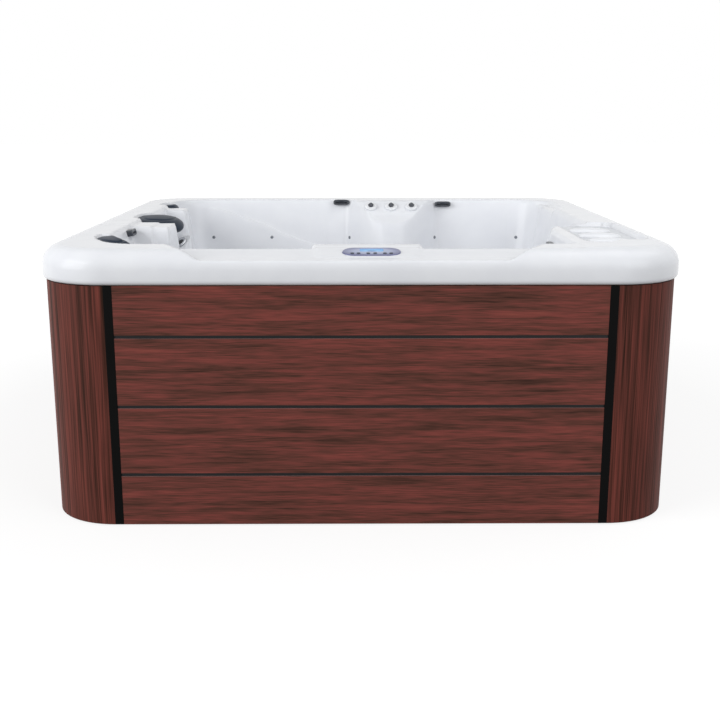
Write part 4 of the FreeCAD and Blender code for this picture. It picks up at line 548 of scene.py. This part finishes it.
def shelfHeight(x, y):
    # the shelf behind the control panel: it carries the console's slope on into the basin, wider at the back
    narrow = np.maximum(shelf["front"] - y, 0) * shelf["taper"]
    awayX = np.maximum(shelf["x"][0] + narrow - x, x - shelf["x"][1] + narrow)
    awayY = y - shelf["front"]
    top = console["backHeight"] + console["slope"] * (y - console["backEdge"])
    top = softMin(top, shelf["top"] + 0 * x, shelf["topEase"])
    top = top + shelf["raise"] * easeStep(y, *shelf["raised"])
    sides = np.minimum(top - shelf["side"] * awayX, top - shelf["fall"] * awayY)
    sides = sides - shelf["nearFall"] * np.maximum(shelf["raised"][0] - y, 0)
    return softMin(top, sides, shelf["ease"])


def cornerHollow(x, y):
    # a flat floor over a ring sector, whose sides climb with the distance outside it
    towards = np.degrees(np.arctan2(y - cornerPocket["centre"][1], x - cornerPocket["centre"][0])) % 360
    away = np.hypot(x - cornerPocket["centre"][0], y - cornerPocket["centre"][1]) - cornerPocket["outer"]
    past = np.maximum(cornerPocket["from"] - towards, towards - cornerPocket["to"])
    past = np.radians(np.maximum(past, 0)) * cornerPocket["outer"]
    return cornerPocket["floor"] + cornerPocket["fall"] * np.hypot(np.maximum(away, 0), past)


def shellHeight(x, y):
    # seats and footwell first, then the walls, then what stands on them, then what is sunk into them
    seats = shell["seat"] + 0 * x
    for form in seatForms:
        seats = softMax(seats, block(x, y, form), form["ease"])
    toWell = roundedBox(x, y, shell["wellX"], shell["wellY"], shell["wellCorner"])
    well = softMin(seats, shell["seat"] + shell["wellSlope"] * toWell, shell["wellEase"])
    floor = softMax(well, shell["wellFloor"] + 0 * x, shell["wellEase"])
    span = (-shell["basinHalf"], shell["basinHalf"])
    inside = -roundedBox(x, y, span, span, shell["basinCorner"])
    wall = shell["rim"] - shell["wallSlope"] * inside
    surface = softMin(rimHeight(x, y), backWall(x, y, wall), shell["rimEase"])
    surface = softMin(surface, bayTop(x, y), valveBay["ease"])
    surface = softMax(floor, surface, shell["seatEase"])
    for side in ("left", "right"):
        top = armrests["front"] + armrests["slope"] * (y - armrests[side]["y"][0])
        top = top - armrests["drop"] * easeStep(-np.abs(x), -armrests["wall"], -armrests["inner"])
        armrest = block(x, y, {**armrests, **armrests[side], "top": top})
        surface = softMax(surface, armrest, armrests["blend"])
    for form in ridgeForms:
        surface = softMax(surface, block(x, y, form), ridgeBlend)
    toDeck = roundedBox(x, y, filterDeck["x"], filterDeck["y"], filterDeck["corner"])
    deckSide = filterDeck["top"] - filterDeck["fall"] * toDeck
    deck = softMin(filterDeck["top"] + 0 * x, deckSide, filterDeck["ease"])
    surface = softMax(surface, deck, filterDeck["blend"])
    surface = softMax(surface, shelfHeight(x, y), shelf["blend"])
    leanX, leanY = x - jetPod["place"][0], y - jetPod["place"][1]
    face = jetPod["place"][2] + jetPod["lean"] * leanX + jetPod["fallForward"] * leanY
    away = np.hypot(leanX, leanY) - jetPod["radius"]
    pod = softMin(face, face - jetPod["fall"] * away, jetPod["ease"])
    surface = softMax(surface, pod, jetPod["ease"])
    surface = softMin(surface, face + jetPod["fall"] * np.maximum(away, 0), jetPod["cutEase"])
    for form in pockets:
        surface = softMin(surface, hollow(x, y, form), form["ease"])
    return softMin(surface, cornerHollow(x, y), cornerPocket["ease"])


def lipProfile():
    # how far out from the edge of the plan and how high: top roll, straight face, curl and turned-in foot
    turn = np.linspace(0, math.pi / 2, shell["rollSteps"])[1:]
    out = [shell["roll"] * np.sin(turn)]
    height = [shell["rim"] - shell["roll"] + shell["roll"] * np.cos(turn)]
    curl = np.linspace(0, math.pi / 2, shell["curlSteps"])
    out.append(shell["roll"] - shell["curl"] + shell["curl"] * np.cos(curl))
    height.append(shell["footHeight"] + shell["curl"] - shell["curl"] * np.sin(curl))
    inner = shell["roll"] - shell["footWidth"]
    out.append([inner, inner])
    height.append([shell["footHeight"], shell["footHeight"] + shell["footRise"]])
    return np.concatenate(out), np.concatenate(height)


def cutWindow(mesh, low, high, margin=0.05):
    # cuts the faces near a box along its sides and takes out those inside it
    low, high = np.array(low), np.array(high)
    centres = faceCentres(mesh)
    near = np.flatnonzero(np.all((centres > low - margin) & (centres < high + margin), axis=1))
    work = bmesh.new()
    work.from_mesh(mesh)
    work.faces.ensure_lookup_table()
    faces = [work.faces[i] for i in near]
    part = faces + list({e for f in faces for e in f.edges}) + list({v for f in faces for v in f.verts})
    for axis in range(3):
        for bound in (low[axis], high[axis]):
            spot, normal = np.zeros(3), np.zeros(3)
            spot[axis], normal[axis] = bound, 1
            cut = bmesh.ops.bisect_plane(work, geom=part, dist=weldDistance, plane_co=spot, plane_no=normal)
            part = cut["geom"]
    faces = [f for f in part if isinstance(f, bmesh.types.BMFace)]
    middles = np.array([f.calc_center_median() for f in faces])
    inside = np.flatnonzero(np.all((middles > low) & (middles < high), axis=1))
    bmesh.ops.delete(work, geom=[faces[i] for i in inside], context="FACES")
    work.to_mesh(mesh)
    work.free()


def makeShell():
    edge = shell["half"] - shell["roll"]
    linesX = gridLines([(-edge, shellGrid["edgeX"])] + shellGrid["x"] + [(edge, 0)])
    linesY = gridLines([(-edge, shellGrid["edgeY"])] + shellGrid["y"] + [(edge, 0)])
    bend = shell["lipCorner"] - shell["roll"]
    flat = (edge - bend, edge - bend)
    x, y = bentGrid(linesX, linesY, flat, bend)
    points = np.stack([x, y, shellHeight(x, y)], axis=-1).reshape(-1, 3)
    loop = rimLoop(x.shape)
    out, height = lipProfile()
    rows = edgeRows(points[loop], flat, out, height)
    rows[:, :, 2] = softMin(rows[:, :, 2], consoleHeight(rows[:, :, 0], rows[:, :, 1]), console["ease"])
    every = np.vstack([points, rows.reshape(-1, 3)])
    faces = np.vstack([gridFaces(*x.shape), carryOn(loop, len(out), x.size)])
    piece = addPiece("shell", every, faces, acrylicWhite, "tub", ["acrylic_shell"])
    for low, high in windows:
        cutWindow(piece.data, low, high)
    print("shell:", len(piece.data.polygons), "faces")


makeShell()


# filter lid: a plate with round corners and three almond-shaped ribs across it

filterLid = {
    "x": (0.766, 0.961), "y": (-0.778, -0.236), "corner": 0.052, "top": 0.8975, "under": 0.887,
    "roll": 0.006, "rollSteps": 6, "spacing": 0.0035,
    "ribs": [(0.842, -0.415), (0.842, -0.575), (0.842, -0.730)], "ribHalf": (0.080, 0.034),
    "ribHeight": 0.014, "ribEdge": 0.0004,
}


def makeLid():
    # the top is the plate plus an ellipsoid over each rib; the edge rolls down to a straight side
    lid = filterLid
    half = [(lid[axis][1] - lid[axis][0]) / 2 - lid["roll"] for axis in ("x", "y")]
    centre = [(lid[axis][1] + lid[axis][0]) / 2 for axis in ("x", "y")]
    bend = lid["corner"] - lid["roll"]
    flat = (half[0] - bend, half[1] - bend)
    lines = [gridLines([(-size, lid["spacing"]), (size, 0)]) for size in half]
    x, y = bentGrid(*lines, flat, bend)
    z = lid["top"] + 0 * x
    for ribX, ribY in lid["ribs"]:
        shareX = (x + centre[0] - ribX) / lid["ribHalf"][0]
        shareY = (y + centre[1] - ribY) / lid["ribHalf"][1]
        z = z + lid["ribHeight"] * np.sqrt(np.maximum(1 - (shareX ** 2 + shareY ** 2), 0))
    points = np.stack([x, y, z], axis=-1).reshape(-1, 3)
    loop = rimLoop(x.shape)
    turn = np.linspace(0, math.pi / 2, lid["rollSteps"])[1:]
    out = np.concatenate([lid["roll"] * np.sin(turn), [lid["roll"], 0.0]])
    height = np.concatenate([lid["top"] - lid["roll"] * (1 - np.cos(turn)), [lid["under"], lid["under"]]])
    rows = edgeRows(points[loop], flat, out, height)
    low = np.stack([x, y, lid["under"] + 0 * x], axis=-1).reshape(-1, 3)
    every = np.vstack([points, rows.reshape(-1, 3), low]) + np.array([centre[0], centre[1], 0])
    faces = gridFaces(*x.shape)
    bottom = faces[:, ::-1] + len(points) + rows.shape[0] * len(loop)
    allFaces = np.vstack([faces, carryOn(loop, len(out), len(points)), bottom])
    piece = addPiece("filterLid", every, allFaces, lidPlateShade, "filter_lid", ["filter_lid"])
    # the ribs take the white acrylic, the rest of the lid keeps the grey of the painted shade
    paintFaces(piece, acrylicWhite, faceCentres(piece.data)[:, 2] > lid["top"] + lid["ribEdge"])


makeLid()


# water spouts: flat lozenges with a slot along the lower half of the mouth

spouts = {
    "halfLength": 0.0385, "halfHeight": 0.0130, "reach": 0.019, "sink": 0.006, "around": 64, "rings": 30,
    # shares of the way from the wall to the middle of the mouth
    "sinkUntil": 0.01, "straightUntil": 0.4, "slotFrom": 0.45, "fullFrom": 0.7,
    "endPower": 0.45, "sidePower": 0.6, "roundPower": 3.0, "depthPower": 0.8,
    "slot": (0.030, 0.0032), "slotEase": (0.003, 0.001), "slotDepth": 0.012, "slotDrop": 0.003,
    # point on the wall, way out of it, way along it
    "places": [((-0.0819, 0.8679, 0.897), (0, -1, 0.166), (1, 0, 0)),
               ((0.41055, 0.8663, 0.888), (0, -1, 0.166), (1, 0, 0)),
               ((-0.8657, -0.3297, 0.884), (1, 0, 0.166), (0, 1, 0)),
               ((0.705, -0.45465, 0.850), (-1, 0, 0), (0, 1, 0))],
}


def signedPower(value, power):
    return np.sign(value) * np.abs(value) ** power


def spoutPoints(place, outward, along):
    # a superellipse plan that shrinks to the front by a quarter round; the slot is pressed into the front
    outward = np.array(outward) / np.linalg.norm(outward)
    along = np.array(along, float)
    upward = np.cross(outward, along)
    upward = upward * np.sign(upward[2])
    turn = np.linspace(0, 2 * math.pi, spouts["around"], endpoint=False)[None, :]
    rise = np.linspace(0, 1, spouts["rings"])[:, None]
    straight = spouts["straightUntil"]
    shrunk = np.sqrt(np.maximum(1 - ((rise - straight) / (1 - straight)) ** spouts["roundPower"], 0))
    size = np.where(rise < straight, 1.0, shrunk)
    depth = spouts["reach"] * np.minimum(rise / spouts["fullFrom"], 1) ** spouts["depthPower"]
    depth = depth - spouts["sink"] * (rise < spouts["sinkUntil"])
    a = spouts["halfLength"] * size * signedPower(np.cos(turn), spouts["endPower"])
    b = spouts["halfHeight"] * size * signedPower(np.sin(turn), spouts["sidePower"])
    slotLength, slotHeight = spouts["slot"]
    easeLength, easeHeight = spouts["slotEase"]
    inLength = easeStep(-np.abs(a), -slotLength, -slotLength + easeLength)
    inHeight = easeStep(-np.abs(b + spouts["slotDrop"]), -slotHeight - easeHeight, -slotHeight + easeHeight)
    depth = depth - spouts["slotDepth"] * inLength * inHeight * (rise > spouts["slotFrom"])
    return np.array(place) + a[..., None] * along + b[..., None] * upward + depth[..., None] * outward


def makeSpouts():
    points = [spoutPoints(*place) for place in spouts["places"]]
    rows, columns = points[0].shape[:2]
    faces = gridFaces(rows, columns, wrapColumns=True)
    every = np.concatenate([part.reshape(-1, 3) for part in points])
    allFaces = np.concatenate([faces + rows * columns * i for i in range(len(points))])
    addPiece("waterSpouts", every, allFaces, slateAbs, "tub", ["water_spouts"], closed=True)


makeSpouts()


# jets: a bright turned ring round a nozzle painted dark as the shade of a hole

jetForm = {
    "count": 8, "around": 64, "scallops": 12, "scallopDepth": 0.0006, "gripFrom": 0.03, "nozzleEdge": 0.0190,
    # radius and height, the ring first and then the nozzle from its edge inwards
    "ring": [(0.0325, -0.001), (0.0330, 0.0015), (0.0326, 0.0042), (0.0308, 0.0062), (0.0280, 0.0070),
             (0.0235, 0.0066), (0.0205, 0.0052), (0.0192, 0.0036)],
    "nozzle": [(0.0180, 0.0022), (0.0150, 0.0014), (0.0120, 0.0022), (0.0100, 0.0042), (0.0082, 0.0046),
               (0.0068, 0.0036), (0.0060, 0.0012), (0.0, 0.0008)],
}


def makeJet(index):
    # a profile turned about the jet's axis, its ring slightly scalloped for the grip
    node = "jet_face_%d" % index
    joint = joints[node + "_turn"]
    axis = np.array(joint["axis"]) / np.linalg.norm(joint["axis"])
    base = np.array(joint["pos_m"])
    profile = np.array(jetForm["ring"] + jetForm["nozzle"])
    turn = np.linspace(0, 2 * math.pi, jetForm["around"], endpoint=False)
    waves = jetForm["scallopDepth"] * np.cos(jetForm["scallops"] * turn)[None, :]
    radius = profile[:, :1] + waves * (profile[:, :1] > jetForm["gripFrom"])
    points = turnedPoints(base, axis, radius, profile[:, 1], turn)
    faces = gridFaces(len(profile), jetForm["around"], wrapColumns=True)
    piece = addPiece("jet%d" % index, points, faces, jetSteel, node, [node], closed=True)
    away = np.linalg.norm(np.cross(faceCentres(piece.data) - base, axis), axis=1)
    # the nozzle's faces take the painted shade of the hole
    paintFaces(piece, nozzleHoleShade, away < jetForm["nozzleEdge"])


for jetIndex in range(1, jetForm["count"] + 1):
    makeJet(jetIndex)


# light points: small lenses set in the back wall, the last one where the wall turns the corner

lightPoints = {
    "x": (-0.704, -0.421, -0.041, 0.370, 0.768), "height": 0.7315, "around": 32,
    "profile": [(0.0075, -0.002), (0.0075, 0.0008), (0.0068, 0.0014), (0.0058, 0.0014), (0.0052, 0.0020),
                (0.0036, 0.0030), (0.0018, 0.0035), (0.0, 0.0036)],
}


def makeLightPoints():
    # the profile turned about the plain wall's own normal at each place
    profile = np.array(lightPoints["profile"])
    turn = np.linspace(0, 2 * math.pi, lightPoints["around"], endpoint=False)
    inside = (shell["rim"] - lightPoints["height"]) / shell["wallSlope"]
    corner = shell["basinCorner"] - inside
    flat = shell["basinHalf"] - shell["basinCorner"]
    points = []
    for x in lightPoints["x"]:
        past = max(abs(x) - flat, 0)
        back = math.sqrt(corner ** 2 - past ** 2)
        base = np.array([x, flat + back - bayReach(x), lightPoints["height"]])
        normal = np.array([-math.copysign(past, x), -back, corner / shell["wallSlope"]])
        normal = normal / np.linalg.norm(normal)
        points.append(turnedPoints(base, normal, profile[:, :1], profile[:, 1], turn).reshape(-1, 3))
    faces = gridFaces(len(profile), lightPoints["around"], wrapColumns=True)
    allFaces = np.concatenate([faces + len(points[0]) * i for i in range(len(points))])
    addPiece("lightPoints", np.concatenate(points), allFaces, smokedLens, "tub",
             ["light_points"], closed=True)


makeLightPoints()
print("lid, spouts, jets and light points made")


# pillows: a closed section carried along the rim, its ends drawn in to a round

pillowForm = {
    "rimEdge": 0.870, "rim": 0.910, "around": 150, "along": 90, "fill": 0.85, "endRound": 2.2,
    # inward from the rim's edge and up from the rim, round from the back of the recess over the crown
    "section": [(-0.046, -0.027), (-0.049, -0.014), (-0.030, -0.003), (0.000, 0.000), (0.032, 0.001),
                (0.068, -0.002), (0.104, -0.011), (0.131, -0.033), (0.129, -0.059), (0.100, -0.072),
                (0.055, -0.069), (0.022, -0.060), (0.006, -0.036), (-0.020, -0.029)],
    "waist": (0.035, -0.032),
    "groove": 0.66, "groovePower": 3, "grooveWidth": 0.045, "grooveDepth": 0.0045,
}
# from and to run along y, or in degrees about the centre where there is one
pillows = {
    "pillowLeft": {
        "node": "pillow_left", "from": -0.070, "to": 0.222, "reach": 1.06, "endPower": 1.9, "lift": 0.0},
    "pillowBackLeft": {
        "node": "pillow_back_left", "from": 0.580, "to": 0.712, "reach": 0.26, "endPower": 2.4,
        "lift": -0.004},
    "pillowFrontLeft": {
        "node": "pillow_front_left", "centre": (-0.620, -0.620), "radius": 0.250, "reach": 0.30,
        "from": 178.0, "to": 235.0, "endPower": 2.8, "lift": 0.005},
}


def closedCurve(corners, count):
    # a smooth closed curve through the corners, as a uniform Catmull-Rom spline
    corners = np.asarray(corners, float)
    t = np.linspace(0, len(corners), count, endpoint=False)
    start = np.floor(t).astype(int)
    f = (t - start)[:, None]
    p0, p1, p2, p3 = (corners[(start + shift) % len(corners)] for shift in (-1, 0, 1, 2))
    return 0.5 * (2 * p1 + (p2 - p0) * f + (2 * p0 - 5 * p1 + 4 * p2 - p3) * f ** 2
                  + (3 * p1 - p0 - 3 * p2 + p3) * f ** 3)


def makePillow(name, place):
    # the section shrinks towards its waist by a superellipse along the pillow, and its crown is lifted
    form = pillowForm
    section = closedCurve(form["section"], form["around"])
    inward = np.where(section[:, 0] > 0, section[:, 0] * place["reach"], section[:, 0])
    waist = np.array(form["waist"]) * (place["reach"], 1)
    crown = (section[:, 1] > waist[1])[None]
    along = np.sin(np.linspace(-math.pi / 2, math.pi / 2, form["along"]))[:, None]
    fullness = np.maximum(1 - np.abs(along) ** place["endPower"], 0) ** (1 / form["endRound"])
    q = waist[0] + fullness * (inward - waist[0])[None]
    h = waist[1] + fullness * (section[:, 1] - waist[1])[None]
    h = h + place["lift"] * fullness * crown
    # a groove on the crown, at an even share of the way out to the pillow's outline
    middle, half = (inward.max() + inward.min()) / 2, (inward.max() - inward.min()) / 2
    power = form["groovePower"]
    ring = (np.abs((inward - middle) / half)[None] ** power + np.abs(along) ** power) ** (1 / power)
    dent = np.exp(-((ring - form["groove"]) / form["grooveWidth"]) ** 2) * crown
    h = h - form["grooveDepth"] * dent * fullness
    track = (place["from"] + place["to"]) / 2 + (place["to"] - place["from"]) / 2 * along
    if "centre" in place:
        angle = np.radians(track)
        x = place["centre"][0] + (place["radius"] - q) * np.cos(angle)
        y = place["centre"][1] + (place["radius"] - q) * np.sin(angle)
    else:
        x = -form["rimEdge"] + q
        y = track + 0 * q
    points = np.stack([x, y, form["rim"] + h], axis=-1)
    faces = gridFaces(*q.shape, wrapColumns=True)
    piece = addPiece(name, points, faces, pillowSkin, "tub", [place["node"]])


for pillowName, pillowPlace in pillows.items():
    makePillow(pillowName, pillowPlace)
print("pillows made:", len(pillows))


# carried-over nodes and their finishes

dressing = {
    boardWood: ["front_boards", "side_and_back_boards"],
    cornerWood: ["corner_panels"],
    trimBlack: ["corner_trims", "base_pan"],
    stripGrey: ["front_joint_strips", "side_and_back_joint_strips"],
    frameTimber: ["frame_bottom_rails", "frame_top_rails", "frame_uprights", "footwell_cradle"],
    slateAbs: ["suction_covers"],
    smokedLens: ["footwell_light"],
    panelSilver: ["control_panel_housing"],
    panelBlue: ["control_panel_window"],
    keyRubber: ["panel_key_%d" % (i + 1) for i in range(6)],
    knobWhite: ["air_knob_left", "diverter_knob", "air_knob_right"],
    capGrey: ["air_cap_left", "diverter_cap", "air_cap_right"],
    fittingWhite: ["water_main", "air_main", "jet_bodies", "valve_bodies", "filter_tank", "skimmer_throat",
                   "weir_flap", "footwell_fittings", "pipes", "drain_valve"],
    pleatCloth: ["filter_cartridge"],
    motorEnamel: ["massage_pump_motor"],
    pumpBlack: ["massage_pump_wet_end", "massage_pump_impeller", "circulation_pump"],
    heaterSteel: ["heater"],
    boxGrey: ["control_box"],
    leverRed: ["drain_handle"],
}
for finish, names in dressing.items():
    for name in names:
        nodes[name].data.materials.clear()
        nodes[name].data.materials.append(finish)
print("nodes dressed:", sum(len(names) for names in dressing.values()))


# floor, light and camera

studio = {
    "floorHalf": 40.0, "floorColor": "#8c8c8c", "floorRoughness": 0.9,
    "floorGlow": 0.78, "farGlow": 0.97, "near": 1.7, "far": 5.0, "sky": 0.41, "seenSky": 1.0,
    "lamps": [
        {"name": "keySoftbox", "at": (-7.6, -4.6, 3.6), "aim": (0, 0, 0.6), "size": 6.0, "power": 600.0},
        {"name": "fillSoftbox", "at": (4.2, -5.2, 3.0), "aim": (0, 0, 0.5), "size": 4.0, "power": 140.0},
        {"name": "topSoftbox", "at": (2.6, -0.6, 4.4), "aim": (0, 0, 0.5), "size": 3.0, "power": 45.0},
    ],
}
photoView = {
    "pixels": 720, "focal": 1051.0, "sensor": 36.0,
    "eye": (-0.0275, -4.29, 1.327), "pitch": 13.29, "yaw": 0.40,
}


def seenRays(tree):
    # 1 for rays from the camera, in reflections and through glass, 0 for the light that falls on things
    rays = addNode(tree, "ShaderNodeLightPath").outputs
    seen = reckon(tree, "MAXIMUM", rays["Is Camera Ray"], rays["Is Glossy Ray"])
    return reckon(tree, "MAXIMUM", seen, rays["Is Transmission Ray"])


def makeStage():
    half = studio["floorHalf"]
    corners = [(-half, -half, 0), (half, -half, 0), (half, half, 0), (-half, half, 0)]
    mesh = bpy.data.meshes.new("floor")
    mesh.from_pydata(corners, [], [(0, 1, 2, 3)])
    floor = bpy.data.objects.new("floor", mesh)
    bpy.context.scene.collection.objects.link(floor)
    # matt pale studio floor that keeps the shadow and reads as white to the camera and in reflections
    finish, tree, shader, place = newFinish("studioFloor", **{
        "Base Color": hexColor(studio["floorColor"]), "Roughness": studio["floorRoughness"],
        "Specular IOR Level": 0.0, "Emission Color": (1, 1, 1, 1)})
    away = addNode(tree, "ShaderNodeVectorMath", {0: place}, operation="LENGTH")
    spread = addNode(tree, "ShaderNodeMapRange", {
        "Value": away.outputs["Value"], "From Min": studio["near"], "From Max": studio["far"],
        "To Min": studio["floorGlow"], "To Max": studio["farGlow"]})
    glow = reckon(tree, "MULTIPLY", seenRays(tree), spread.outputs[0])
    tree.links.new(glow, shader.inputs["Emission Strength"])
    mesh.materials.append(finish)


def makeLight():
    world = bpy.data.worlds.new("studioWorld")
    bpy.context.scene.world = world
    world.use_nodes = True
    tree = world.node_tree
    strength = addNode(tree, "ShaderNodeMapRange", {
        "Value": seenRays(tree), "To Min": studio["sky"], "To Max": studio["seenSky"]})
    back = tree.nodes["Background"]
    back.inputs["Color"].default_value = (1, 1, 1, 1)
    tree.links.new(strength.outputs["Result"], back.inputs["Strength"])
    for lamp in studio["lamps"]:
        light = bpy.data.lights.new(lamp["name"], "AREA")
        light.size = lamp["size"]
        light.energy = lamp["power"]
        lampObject = bpy.data.objects.new(lamp["name"], light)
        lampObject.location = lamp["at"]
        aim = Vector(lamp["aim"]) - Vector(lamp["at"])
        lampObject.rotation_euler = aim.to_track_quat("-Z", "Y").to_euler()
        bpy.context.scene.collection.objects.link(lampObject)


def makeCamera():
    camera = bpy.data.objects.new("camera", bpy.data.cameras.new("camera"))
    camera.data.sensor_width = photoView["sensor"]
    camera.data.lens = photoView["focal"] / photoView["pixels"] * photoView["sensor"]
    camera.location = photoView["eye"]
    camera.rotation_euler = (math.radians(90 - photoView["pitch"]), 0, math.radians(-photoView["yaw"]))
    bpy.context.scene.collection.objects.link(camera)
    bpy.context.scene.camera = camera


makeStage()
makeLight()
makeCamera()
bpy.context.scene.view_settings.view_transform = "Standard"
print("stage, light and camera set")
